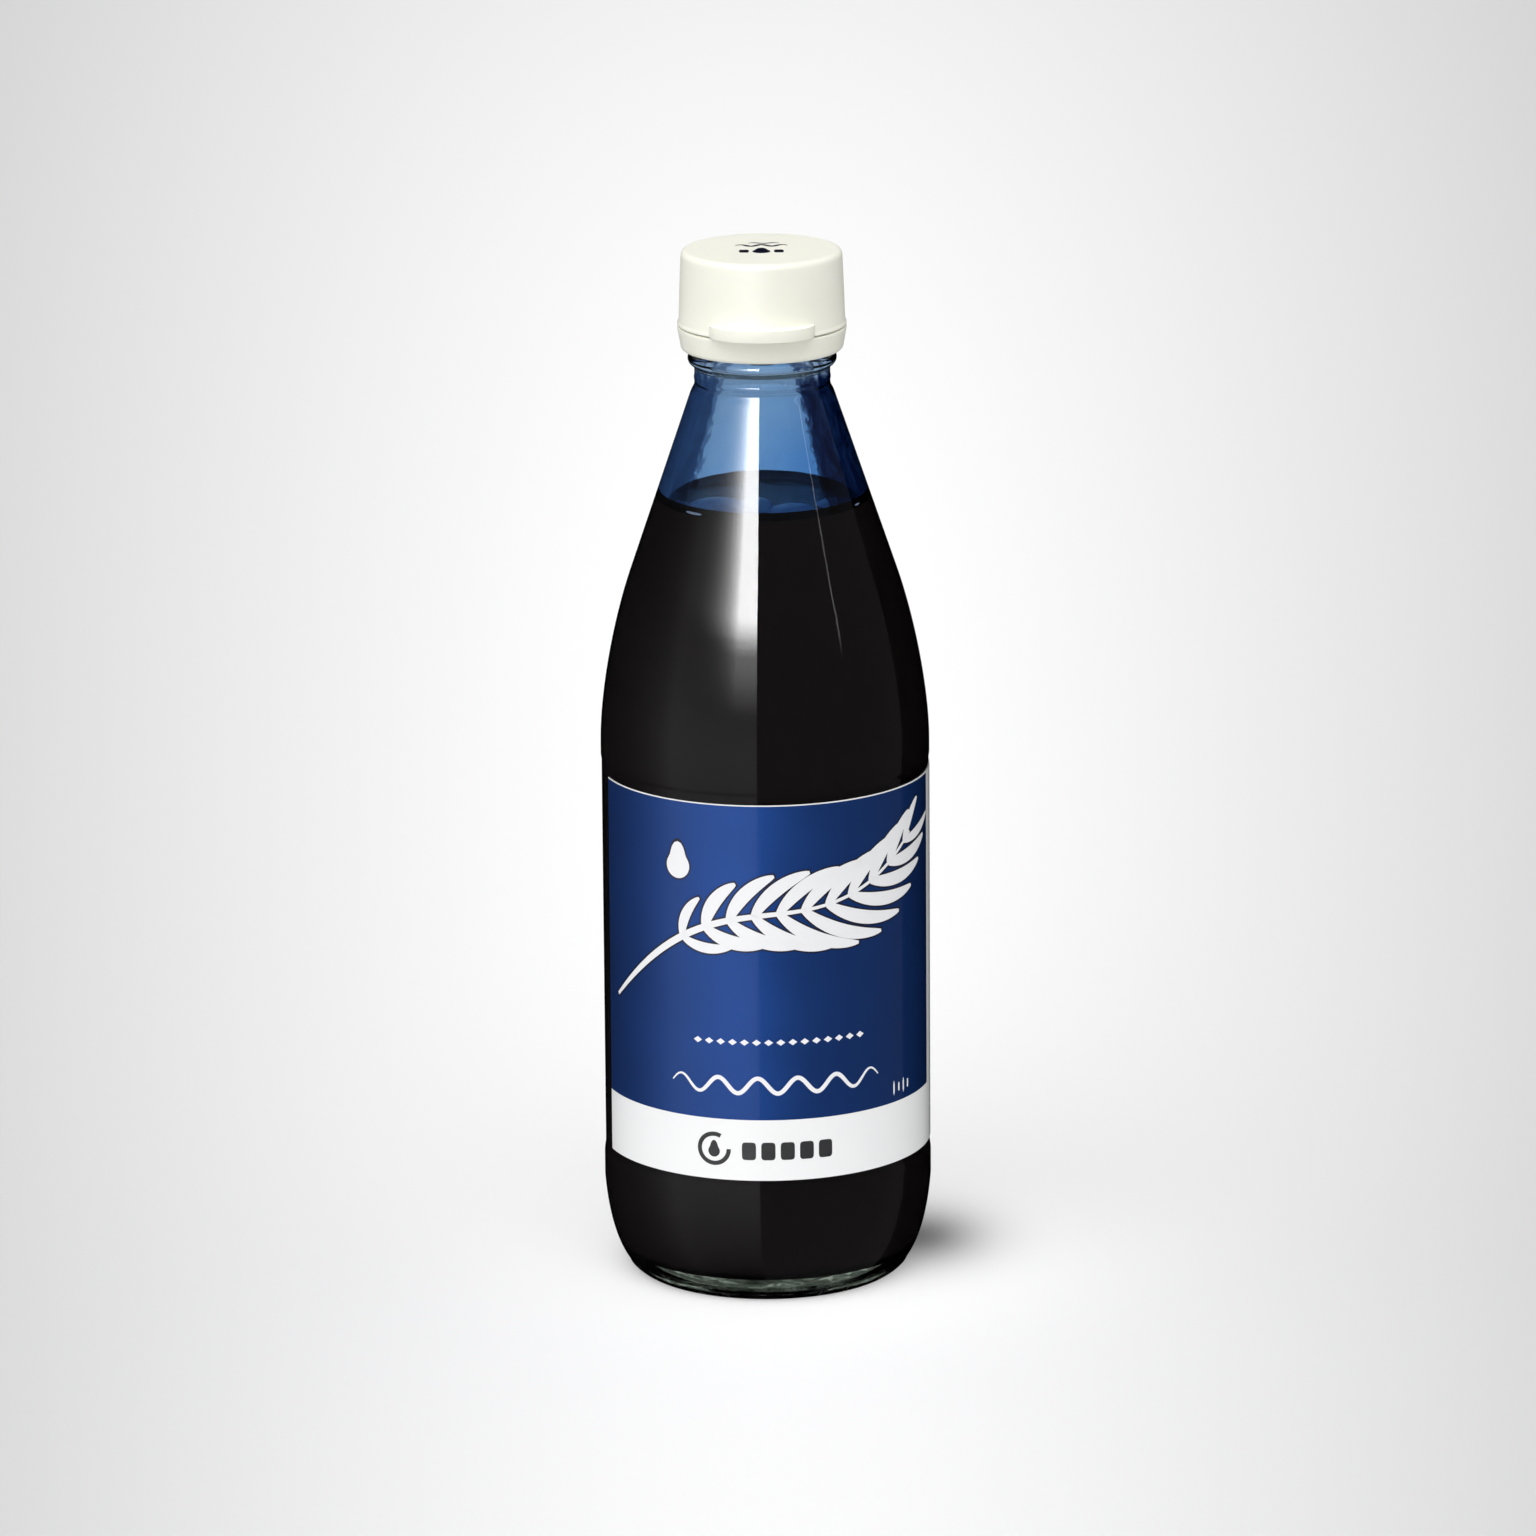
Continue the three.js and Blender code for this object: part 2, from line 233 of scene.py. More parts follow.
def newTint(name):
    # a tinted shell that bends no light
    material, nodes, links, shader = newMaterial(name)
    setInputs(shader, {"Transmission Weight": 1.0, "IOR": 1.0, "Roughness": 0.0})
    return material, nodes, links, shader


def add(nodes, kind, **settings):
    node = nodes.new(kind)
    for setting, value in settings.items():
        setattr(node, setting, value)
    return node


def calculator(nodes, links):
    # gives a function that adds a Math node, fed with numbers or with other nodes' outputs
    def calc(operation, first, second=None, third=None, clamp=False):
        node = add(nodes, "ShaderNodeMath", operation=operation, use_clamp=clamp)
        for socket, value in zip(node.inputs, (first, second, third)):
            if isinstance(value, (int, float)):
                socket.default_value = value
            elif value is not None:
                links.new(value, socket)
        return node.outputs[0]

    return calc


def setInputs(node, values):
    for socket, value in values.items():
        node.inputs[socket].default_value = value


def ramp(nodes, links, value, low, high, toLow=0.0, toHigh=1.0, kind="SMOOTHSTEP"):
    # how far a value lies from low to high, as a share from toLow to toHigh
    node = add(nodes, "ShaderNodeMapRange", interpolation_type=kind)
    links.new(value, node.inputs["Value"])
    setInputs(node, {"From Min": low, "From Max": high, "To Min": toLow, "To Max": toHigh})
    return node.outputs["Result"]


def axesOf(nodes, links, place):
    split = nodes.new("ShaderNodeSeparateXYZ")
    links.new(place, split.inputs[0])
    return split.outputs


def stretchedNoise(nodes, links, stretch, settings):
    # noise on Object coordinates, with a scale for each axis
    mapping, noise = nodes.new("ShaderNodeMapping"), nodes.new("ShaderNodeTexNoise")
    links.new(nodes.new("ShaderNodeTexCoord").outputs["Object"], mapping.inputs["Vector"])
    links.new(mapping.outputs["Vector"], noise.inputs["Vector"])
    setInputs(mapping, {"Scale": stretch})
    setInputs(noise, {"Scale": 1.0, **settings})
    return noise.outputs["Fac"]


def mixColours(nodes, links, share, first, second):
    node = add(nodes, "ShaderNodeMix", data_type="RGBA")
    for socket, value in zip((node.inputs[0], node.inputs[6], node.inputs[7]), (share, first, second)):
        if isinstance(value, tuple):
            socket.default_value = (*value, 1)
        else:
            links.new(value, socket)
    return node.outputs[2]


def colour(red, green, blue):
    # from 0 to 255 values to the shader's linear ones
    def linear(value):
        share = value / 255
        return share / 12.92 if share <= 0.04045 else ((share + 0.055) / 1.055) ** 2.4

    return tuple(linear(value) for value in (red, green, blue))


def makeSurfaceGrain():
    # fine moulded or coated surface: a roughness that drifts and a height for Bump
    group = bpy.data.node_groups.new("surfaceGrain", "ShaderNodeTree")

    def newSocket(name, direction):
        return group.interface.new_socket(name=name, in_out=direction, socket_type="NodeSocketFloat")

    for name, value in (("Grain Size", 0.4), ("Drift Size", 9.0), ("Roughness", 0.4), ("Variation", 0.08)):
        newSocket(name, "INPUT").default_value = value
    for name in ("Roughness", "Height", "Drift"):
        newSocket(name, "OUTPUT")
    nodes, links = group.nodes, group.links
    calc = calculator(nodes, links)
    given, result = nodes.new("NodeGroupInput"), nodes.new("NodeGroupOutput")
    place = nodes.new("ShaderNodeTexCoord").outputs["Object"]
    noises = []
    for size, detail in (("Grain Size", 3.0), ("Drift Size", 4.0)):
        noise = nodes.new("ShaderNodeTexNoise")
        noise.inputs["Detail"].default_value = detail
        links.new(place, noise.inputs["Vector"])
        links.new(calc("DIVIDE", 1000.0, given.outputs[size]), noise.inputs["Scale"])
        noises.append(noise.outputs["Fac"])
    grain, drift = noises
    swing = calc("MULTIPLY", calc("SUBTRACT", drift, 0.5), given.outputs["Variation"])
    swing = calc("MULTIPLY", swing, 4.0)
    links.new(calc("ADD", given.outputs["Roughness"], swing, clamp=True), result.inputs["Roughness"])
    links.new(grain, result.inputs["Height"])
    links.new(drift, result.inputs["Drift"])
    return group


surfaceGrain = makeSurfaceGrain()


def addGrain(nodes, links, shader, grainSize, driftSize, roughness, variation, bump):
    # places the shared grain, with its own values, on a material's roughness and normal
    grain = add(nodes, "ShaderNodeGroup", node_tree=surfaceGrain)
    for socket, value in zip(grain.inputs, (grainSize, driftSize, roughness, variation)):
        socket.default_value = value
    links.new(grain.outputs["Roughness"], shader.inputs["Roughness"])
    addBump(nodes, links, shader, grain.outputs["Height"], 1.0, bump)
    return grain


def addBump(nodes, links, shader, height, strength, depth):
    relief = nodes.new("ShaderNodeBump")
    setInputs(relief, {"Strength": strength, "Distance": depth * mm})
    links.new(height, relief.inputs["Height"])
    links.new(relief.outputs["Normal"], shader.inputs["Normal"])


def driftingMaterial(name, settings, grainValues, main, worn):
    # a grained material whose colour drifts between two shades
    material, nodes, links, shader = newMaterial(name)
    setInputs(shader, settings)
    grain = addGrain(nodes, links, shader, *grainValues)
    links.new(mixColours(nodes, links, grain.outputs["Drift"], main, worn), shader.inputs["Base Color"])
    return material


studio = {
    "lens": 220.1,
    "distance": 1740.0,  # camera in front of the bottle
    "height": 565.0,
    "side": 0.55,
    "pitch": 15.0,  # degrees down
    "roll": -0.41,
    "floorSize": 9000.0,
    "surround": 0.72,
    "softness": 50.0,  # degrees that the soft lights span
    "paper": 0.64,
    "glow": 0.22,
    "shadePlace": (29.0, 14.0),  # the deepest painted shadow beside the base, away from the light
    "shadeReach": (13.0, 18.0),
    "shadeDepth": 0.8,
    "paintedBaseGlow": 1.25,  # painted light round the base, which keeps the paper pale up to its edge where the bottle's shade would fall
    "paintedBaseGlowPlace": (8.0, 3.0),
    "paintedBaseGlowReach": 42.0,
    "poolCentre": 0.4,  # metres behind the bottle where the painted pool of light on the floor is palest
    "poolFront": (1.89, 1.6),  # metres from the lens to the bottle, and the least that counts
    "poolSpread": (10.0, 0.42),  # how fast the pale pool fades to the sides and in depth
    "poolFade": (0.15, 0.9),
    "poolDim": 0.66,  # share of the light that is left beyond the pool
}


def addCamera():
    data = bpy.data.cameras.new("camera")
    data.lens = studio["lens"]
    data.sensor_width = 36.0
    data.clip_start, data.clip_end = 0.1, 60.0
    camera = bpy.data.objects.new("camera", data)
    bpy.context.scene.collection.objects.link(camera)
    camera.location = Vector((studio["side"], -studio["distance"], studio["height"])) * mm
    down = Matrix.Rotation(math.radians(90 - studio["pitch"]), 3, "X")
    roll = Matrix.Rotation(math.radians(studio["roll"]), 3, "Z")
    camera.rotation_euler = (down @ roll).to_euler()
    bpy.context.scene.camera = camera


def addSurround():
    world = bpy.data.worlds.new("surround")
    world.use_nodes = True
    background = world.node_tree.nodes["Background"]
    background.inputs["Color"].default_value = (1, 1, 1, 1)
    background.inputs["Strength"].default_value = studio["surround"]
    world.cycles_visibility.glossy = False
    bpy.context.scene.world = world


def addSoftLight(name, energy, azimuth, elevation):
    # a broad light, too wide to have a shape in the gloss, that shines from those angles
    data = bpy.data.lights.new(name, "SUN")
    data.energy = energy
    data.angle = math.radians(studio["softness"])
    light = bpy.data.objects.new(name, data)
    bpy.context.scene.collection.objects.link(light)
    turn, rise = math.radians(azimuth), math.radians(elevation)
    away = Vector((-math.sin(turn) * math.cos(rise), math.cos(turn) * math.cos(rise), -math.sin(rise)))
    light.rotation_euler = away.to_track_quat("-Z", "Y").to_euler()
    light.visible_glossy = False
    light.visible_transmission = False


def addFloor():
    clearSelection()
    bpy.ops.mesh.primitive_plane_add(size=studio["floorSize"] * mm, location=(0, 0, 0))
    floor = startPiece("floor")
    material, nodes, links, shader = newMaterial("palePaper")
    calc = calculator(nodes, links)
    place = nodes.new("ShaderNodeTexCoord").outputs["Object"]
    x, y, _ = axesOf(nodes, links, place)

    def softSpot(middle, reach):
        # 1 in the middle of an oval on the floor, fading to 0
        across, along = (
            calc("MULTIPLY_ADD", axis, 1000 / span, -at / span)
            for axis, at, span in zip((x, y), middle, reach)
        )
        away = calc("MULTIPLY_ADD", along, along, calc("MULTIPLY", across, across))
        return calc("EXPONENT", calc("MULTIPLY", away, -1.0))

    # a painted pool of light in the floor's colour, palest behind the bottle and fading to the sides and far
    # off
    toBottle, nearest = studio["poolFront"]
    toSides, inDepth = studio["poolSpread"]
    depth = calc("MAXIMUM", calc("ADD", y, toBottle), nearest)
    across = calc("MULTIPLY", calc("DIVIDE", x, depth), toSides)
    along = calc("MULTIPLY", calc("SUBTRACT", y, studio["poolCentre"]), inDepth)
    away = calc("SQRT", calc("MULTIPLY_ADD", along, along, calc("MULTIPLY", across, across)))
    paintedLightPool = ramp(nodes, links, away, *studio["poolFade"], 1.0, studio["poolDim"], "LINEAR")
    # a painted shadow beside the base, which darkens the floor's colour and its glow
    shade = softSpot(studio["shadePlace"], studio["shadeReach"])
    light = calc("MULTIPLY", paintedLightPool, calc("MULTIPLY_ADD", shade, -studio["shadeDepth"], 1.0))
    grain = nodes.new("ShaderNodeTexNoise")
    grain.inputs["Scale"].default_value = 900.0
    links.new(place, grain.inputs["Vector"])
    paper = calc("MULTIPLY_ADD", grain.outputs["Fac"], 0.01, studio["paper"])
    links.new(calc("MULTIPLY", light, paper), shader.inputs["Base Color"])
    # the paper glows a little though it is no lamp: painted light, so that shadows stay light
    paintedBaseGlow = softSpot(studio["paintedBaseGlowPlace"], (studio["paintedBaseGlowReach"], studio["paintedBaseGlowReach"]))
    paintedBaseGlow = calc("MULTIPLY_ADD", paintedBaseGlow, studio["paintedBaseGlow"], 1.0)
    links.new(calc("MULTIPLY", light, paintedBaseGlow), shader.inputs["Emission Color"])
    setInputs(shader, {"Roughness": 0.9, "Specular IOR Level": 0.1, "Emission Strength": studio["glow"]})
    floor.data.materials.append(material)
    floor.visible_glossy = False


def addReflector(name, fromAzimuth, toAzimuth, lowest, highest, brightness, decay, steps):
    # a curved light panel that only gloss sees; "decay" is (flat part, fade) in degrees from its first
    # edge, and each of "steps" is (elevation where it starts, where it is full, share)
    distance, middle = 1000, 110

    def onDome(across, up):
        azimuth = math.radians(fromAzimuth + (toAzimuth - fromAzimuth) * across)
        elevation = math.radians(lowest + (highest - lowest) * up)
        flat = math.cos(elevation) * distance
        return math.sin(azimuth) * flat, -math.cos(azimuth) * flat, middle + math.sin(elevation) * distance

    panel = shapedGrid(name, 64, 48, onDome)
    material = bpy.data.materials.new(name)
    material.use_nodes = True
    nodes, links = material.node_tree.nodes, material.node_tree.links
    calc = calculator(nodes, links)
    nodes.clear()
    result = nodes.new("ShaderNodeOutputMaterial")
    glow = nodes.new("ShaderNodeEmission")
    across, up, _ = axesOf(nodes, links, nodes.new("ShaderNodeUVMap").outputs["UV"])
    away = calc("MULTIPLY_ADD", across, abs(toAzimuth - fromAzimuth), -decay[0])
    light = calc("EXPONENT", calc("DIVIDE", calc("MAXIMUM", away, 0.0), -decay[1]))
    elevation = calc("MULTIPLY_ADD", up, highest - lowest, lowest)
    total = 0.0
    for start, full, share in steps:
        total = calc("ADD", total, ramp(nodes, links, elevation, start, full, 0.0, share))
    light = calc("MULTIPLY", light, total)
    links.new(calc("MULTIPLY", light, brightness), glow.inputs["Strength"])
    both = nodes.new("ShaderNodeAddShader")  # panels that overlap add up
    links.new(glow.outputs[0], both.inputs[0])
    links.new(nodes.new("ShaderNodeBsdfTransparent").outputs[0], both.inputs[1])
    links.new(both.outputs[0], result.inputs["Surface"])
    panel.data.materials.append(material)
    panel.visible_camera = False
    panel.visible_diffuse = False
    panel.visible_transmission = False
    panel.visible_shadow = False


addCamera()
addSurround()
addFloor()
# azimuths are counted from the front towards +X, so the tall strip stands front left
addSoftLight("keyLight", 1.75, -12, 62)
addSoftLight("sideLight", 0.33, -80, 20)
addReflector("stripPanel", -5.5, -80, 0, 75, 21.0, (15.0, 8.0), ((12.3, 20.5, 0.88), (1.0, 14.0, 0.12)))
leftSteps = ((-68.0, -8.0, 1.0), (-6.0, 14.0, -0.35))
addReflector("leftPanel", -5.5, -160, -70, 60, 0.42, (62.0, 20.0), leftSteps)
addReflector("thinStrip", 60.3, 61.6, 8, 60, 1.7, (2.0, 1.0), ((8.0, 14.0, 1.0),))
addReflector("rightPanel", 110, -5.5, -70, 40, 0.07, (120.0, 50.0), ((-80.0, -70.0, 1.0),))
bpy.context.scene.view_settings.view_transform = "Standard"
bpy.context.scene.view_settings.look = "None"
print("studio ready")


glass = {
    "wall": 2.6,
    "baseThickness": 5.0,
    "pushUp": 2.6,
    "footRadius": 25.0,
    "footWidth": 2.0,
    "heelRadius": 31.2,
    "panelRadius": 31.35,
    "shoulderRadius": 31.5,
    "bumpers": (16.6, 23.2, 24.4, 101.2, 102.4, 104.5),  # heights where the bands start and end
    "coneBottom": 138.0,
    "coneTop": 171.0,
    "coneSlope": 0.339,
    "neckRadius": 12.9,
    "neckTop": 178.1,
    "beadProud": 1.25,
    "beadHeight": 3.0,
    "finishRadius": 12.6,
    "boreRadius": 9.6,
    "facets": 192,
}
bumperRadius = glassHigh.x
mouthTop = glassHigh.z
coneTopRadius = glass["neckRadius"] + 1.4
coneBottomRadius = coneTopRadius + glass["coneSlope"] * (glass["coneTop"] - glass["coneBottom"])


def coneRadius(height):
    return coneTopRadius + glass["coneSlope"] * (glass["coneTop"] - height)


def shoulderCurve(inset):
    bottom, radius = glass["bumpers"][5], glass["shoulderRadius"] - inset
    end = glass["coneBottom"]
    return bezier(
        (radius, bottom),
        (radius, bottom + 9.5),
        (coneRadius(end - 10) - inset, end - 10),
        (coneBottomRadius - inset, end),
        28,
    )


def hollowOutline(inset):
    # inner surface of the glass, from the middle of its floor up to the bore
    floor = glass["baseThickness"] + inset
    side = glass["panelRadius"] - glass["wall"] - inset
    footInner = glass["footRadius"] - glass["footWidth"]
    pushUp = glass["pushUp"]
    bore = glass["boreRadius"] - inset
    beadBottom = glass["neckTop"]
    beadTop = beadBottom + glass["beadHeight"]
    corner = side - 3.0
    rise = [
        (0, floor + pushUp),
        *bezier(
            (2.0, floor + pushUp),
            (footInner * 0.5, floor + pushUp * 0.95),
            (corner - 7.0, floor),
            (corner, floor),
            12,
        ),
        *bezier((corner, floor), (corner + 2.0, floor), (side, floor + 3.0), (side, floor + 9.0), 12),
        *shoulderCurve(glass["wall"] + inset),
    ]
    coneTop = glass["coneTop"]
    top = coneRadius(coneTop) - glass["wall"] - inset
    length = coneTop - glass["coneBottom"]
    drops = [length * (1 - i / 8) for i in range(1, 9)]
    cone = [(top + glass["coneSlope"] * drop, coneTop - drop) for drop in drops]
    throat = bezier(
        (top, coneTop),
        (coneRadius(coneTop + 3) - glass["wall"] - inset, coneTop + 3),
        (bore, beadBottom - 3),
        (bore, beadTop),
        14,
    )
    return rise + cone + throat


def glassOutline():
    footOuter = glass["footRadius"]
    footInner = footOuter - glass["footWidth"]
    pushUp = glass["pushUp"]
    low, lowTop, panelLow, panelTop, highLow, _ = glass["bumpers"]
    panel, shoulder = glass["panelRadius"], glass["shoulderRadius"]
    neck, neckTop = glass["neckRadius"], glass["neckTop"]
    finish = glass["finishRadius"]
    beadTop = neckTop + glass["beadHeight"]
    beadMiddle = (neckTop + beadTop) / 2
    crest = neck + glass["beadProud"]
    bend = (footInner * 0.6, pushUp * 0.95)
    underside = bezier((0, pushUp), bend, (footInner * 0.82, 0.5), (footInner, 0), 12)
    foot = rounded((footInner, 0), (footOuter, 0), (footOuter + 1.2, 1.0), 0.6)
    band = (glass["heelRadius"] + bumperRadius) / 2 + 0.1
    start, handle = (footOuter + 0.35, 0.25), (footOuter + 4.0, 2.4)
    heelCurve = bezier(start, handle, (band - 0.6, 9.8), (band, low + 1.5), 26)
    body = (
        ease((band, lowTop - 1.0), (panel, panelLow + 0.8), 8)
        + ease((panel, panelTop), (shoulder, highLow))
    )
    coneLine = [(coneRadius(z), z) for z in (142, 147, 152, 157, 162, 167, 171)]
    coneEnd = glass["coneTop"] + 1.6
    ridge = neckTop - 2.3
    throat = (
        bezier(
            (coneRadius(coneEnd), coneEnd),
            (coneRadius(coneEnd + 1.2), coneEnd + 1.2),
            (neck, ridge - 1.9),
            (neck, ridge - 0.8),
            12,
        )
        + bezier((neck, ridge - 0.7), (neck, ridge - 0.3), (neck + 0.1, ridge - 0.4), (neck + 0.1, ridge), 5)
        + bezier((neck + 0.1, ridge), (neck + 0.1, ridge + 0.4), (neck, ridge + 0.3), (neck, ridge + 0.7), 5)
    )
    middle, end = (crest, beadMiddle), (finish, beadTop + 0.5)
    bead = (
        bezier((neck, neckTop - 0.5), (neck, neckTop + 0.3), (crest, neckTop + 0.2), middle, 10)
        + bezier(middle, (crest, beadTop - 0.3), (finish, beadTop - 0.2), end, 8)
    )
    lock = [
        (finish, 183.5),
        *ease((finish, 183.6), (finish + 0.9, 184.7), 4),
        *ease((finish + 0.9, 186.4), (finish, mouthTop - 0.5), 4),
        (finish - 0.5, mouthTop),
        (glass["boreRadius"] + 0.5, mouthTop),
        (glass["boreRadius"], mouthTop - 0.5),
    ]
    return underside + foot + heelCurve + body + shoulderCurve(0) + coneLine + throat + bead + lock


def makeGlassBottle():
    inside = hollowOutline(0)
    outline = glassOutline() + inside[::-1]
    bottle = turnOutline("glassBottle", outline, glass["facets"])
    knurlFoot(bottle)
    smooth(bottle, 60)
    return bottle


def knurlFoot(bottle):
    # every second column of faces on the foot's outer edge stands a little proud, as a stipple ring
    sector = 2 * math.pi / glass["facets"]

    def inStipple(centre):
        column = int((math.atan2(centre.y, centre.x) + math.pi) / sector + 0.01)
        radius = math.hypot(centre.x, centre.y)
        return 0.25 < centre.z < 1.5 and radius > glass["footRadius"] and column % 2 == 0

    selectFaces(bottle, inStipple)
    bpy.ops.transform.shrink_fatten(value=0.2 * mm)
    leaveFaces()


def clearGlassMaterial():
    material, nodes, links, shader = newMaterial("clearGlass")
    setInputs(shader, {"Base Color": (0.955, 0.985, 0.975, 1), "Transmission Weight": 1.0, "IOR": 1.52})
    # slow waves in the glass, wider than they are tall, from the mould
    waves = stretchedNoise(nodes, links, (60, 60, 260), {"Detail": 2.0})
    addBump(nodes, links, shader, waves, 0.5, 0.03)
    links.new(ramp(nodes, links, waves, 0.55, 0.8, 0.005, 0.06, "LINEAR"), shader.inputs["Roughness"])
    return material


# the ink film's colours: a real stain, with painted shade at the sides and towards the right
filmStainAndShade = {
    "depth": 0.1,  # how far inside the glass it lies, so that inner reflections pass through it too
    "thickness": 0.06,
    "middleStainLitLeft": (0.42, 0.59, 0.79),
    "middleStainShadedRight": (0.26, 0.47, 0.75),
    "high": (0.5, 0.64, 0.8),
    "clear": (0.56, 0.68, 0.83),  # under the cap, where the ink has drained off
    "streak": (0.16, 0.34, 0.66),
    "sideStainAndShadeLeft": (0.15, 0.25, 0.43),
    "sideStainAndShadeRight": (0.035, 0.075, 0.19),
    "leftEdge": -0.76,  # sines of the angles where the darker sides start, left and right: ragged stain with painted shade
    "rightEdge": 0.65,
    "ragged": 0.34,
    "edgeSoftness": 0.02,
    "palerHeights": (156.0, 176.0),
    "drainedHeights": (175.5, 179.0),
    "drainedWobble": 12.0,
}


def makeInkFilm():
    # a shell of ink that has run down the hollow's wall above the ink
    def wallFrom(inset):
        low = inkHigh.z - 0.2
        start = (coneRadius(low) - glass["wall"] + inset, low)
        return [start] + [p for p in hollowOutline(-inset) if p[1] > low + 0.2]

    outline = wallFrom(filmStainAndShade["depth"]) + wallFrom(filmStainAndShade["depth"] + filmStainAndShade["thickness"])[::-1]
    return turnOutline("inkFilm", outline + outline[:1], 128)


def inkFilmMaterial():
    material, nodes, links, shader = newTint("inkFilm")
    calc = calculator(nodes, links)
    x, y, z = axesOf(nodes, links, nodes.new("ShaderNodeTexCoord").outputs["Object"])
    away = calc("SQRT", calc("MULTIPLY_ADD", y, y, calc("MULTIPLY", x, x)))
    sine = calc("DIVIDE", x, away)
    runs = stretchedNoise(nodes, links, (620, 620, 240), {"Detail": 5.0, "Roughness": 0.62})
    wobble = calc("SUBTRACT", runs, 0.5)
    shifted = calc("MULTIPLY_ADD", wobble, filmStainAndShade["ragged"], sine)
    soft, rightEdge, leftEdge = filmStainAndShade["edgeSoftness"], filmStainAndShade["rightEdge"], filmStainAndShade["leftEdge"]
    right = ramp(nodes, links, shifted, rightEdge - soft, rightEdge + soft)
    left = ramp(nodes, links, shifted, leftEdge + soft, leftEdge - soft)
    paler = ramp(nodes, links, z, *(height * mm for height in filmStainAndShade["palerHeights"]), kind="LINEAR")
    # stain colour with painted shade: darker to the right, away from the light, and darkest at the sides
    across = calc("MULTIPLY_ADD", sine, 1.3, 0.4, clamp=True)
    film = mixColours(nodes, links, across, filmStainAndShade["middleStainLitLeft"], filmStainAndShade["middleStainShadedRight"])
    film = mixColours(nodes, links, paler, film, filmStainAndShade["high"])
    film = mixColours(nodes, links, calc("MULTIPLY", runs, 0.35), film, filmStainAndShade["streak"])
    film = mixColours(nodes, links, left, film, filmStainAndShade["sideStainAndShadeLeft"])
    uneven = calc("MULTIPLY_ADD", runs, 2.4, -1.05, clamp=True)
    sideStainAndShadeRight = mixColours(nodes, links, uneven, filmStainAndShade["sideStainAndShadeRight"], filmStainAndShade["sideStainAndShadeLeft"])
    film = mixColours(nodes, links, right, film, sideStainAndShadeRight)
    wavy = calc("MULTIPLY_ADD", wobble, filmStainAndShade["drainedWobble"] * mm, z)
    drained = ramp(nodes, links, wavy, *(height * mm for height in filmStainAndShade["drainedHeights"]))
    film = mixColours(nodes, links, drained, film, filmStainAndShade["clear"])
    links.new(film, shader.inputs["Base Color"])
    return material


def stippledShadedGlassMaterial():
    # the standing ring and the hollow under the base, rough from the mould, dark with painted shade for the
    # shadowed floor under the bottle and with painted glints in spots
    material, nodes, links, shader = newMaterial("stippledShadedGlass")
    setInputs(shader, {"Transmission Weight": 1.0, "IOR": 1.52})
    grain = addGrain(nodes, links, shader, 1.1, 4.0, 0.22, 0.1, 0.12)
    paintedGlintSpots = ramp(nodes, links, grain.outputs["Drift"], 0.41, 0.58)
    shade = mixColours(nodes, links, paintedGlintSpots, (0.02, 0.024, 0.021), (0.62, 0.67, 0.63))
    links.new(shade, shader.inputs["Base Color"])
    return material


# the heel shell's tint: green of thick glass darkened with painted shade, and painted glints
heel = {
    "depth": 0.12,
    "thickness": 0.08,
    "top": 6.5,
    "greenDepthAndShade": (0.26, 0.29, 0.26),
    "light": (0.9, 0.95, 0.9),
}


def makeHeelTint():
    # a shell just inside the heel's skin, which stands for the green depth of the thick glass there, with
    # painted shade and painted glints
    skin = [p for p in glassOutline()[:80] if 0.2 < p[1] < heel["top"] and p[0] > glass["footRadius"]]
    outer = [(p[0] - heel["depth"], p[1] + heel["depth"] * 0.5) for p in skin]
    inner = [(p[0] - heel["depth"] - heel["thickness"], p[1] + heel["depth"] * 0.8) for p in skin]
    outline = outer + inner[::-1]
    return turnOutline("heelTint", outline + outline[:1], 128)


def heelTintMaterial():
    material, nodes, links, shader = newTint("greenAndShadedHeelGlass")
    glintNoise = stretchedNoise(nodes, links, (260, 260, 900), {"Detail": 4.0, "Distortion": 1.2})
    # painted glints in streaks over the painted shade
    paintedGlints = ramp(nodes, links, glintNoise, 0.46, 0.68)
    z = axesOf(nodes, links, nodes.new("ShaderNodeTexCoord").outputs["Object"])["Z"]
    fade = ramp(nodes, links, z, (heel["top"] - 1.5) * mm, (heel["top"] - 0.1) * mm)
    tint = mixColours(nodes, links, paintedGlints, heel["greenDepthAndShade"], heel["light"])
    tint = mixColours(nodes, links, fade, tint, (1.0, 1.0, 1.0))
    links.new(tint, shader.inputs["Base Color"])
    return material


glassBottle = makeGlassBottle()
glassBottle.data.materials.append(clearGlassMaterial())
glassBottle.data.materials.append(stippledShadedGlassMaterial())
# the underside faces take the stippled glass with its painted shade and painted glints
for polygon in glassBottle.data.polygons:
    if polygon.center.z / mm < 3.0 and polygon.normal.z < -0.35:
        polygon.material_index = 1
finishPiece(glassBottle, None, replaced=("glass_bottle",))
heelTint = makeHeelTint()
smooth(heelTint, 60)
finishPiece(heelTint, heelTintMaterial())
print("glass bottle:", len(glassBottle.data.polygons), "faces")


ink = {
    "level": inkHigh.z,
    "overlap": 0.12,  # how far the ink reaches into the glass wall, so that no air shows between
    "meniscusRise": 1.3,
    "meniscusRun": 2.4,
    "bubbles": (  # across, depth, radius, height share
        (-8.5, -9.0, 5.8, 0.36),
        (-0.8, -9.4, 2.7, 0.85),
        (5.4, -11.8, 4.4, 0.36),
        (13.4, -6.0, 3.4, 0.4),
        (-14.6, -6.4, 1.1, 0.8),
        (-13.0, -8.6, 0.9, 0.8),
        (-15.6, -4.0, 0.8, 0.8),
        (2.2, -9.3, 0.9, 0.8),
        (9.6, -11.4, 0.8, 0.8),
    ),
}


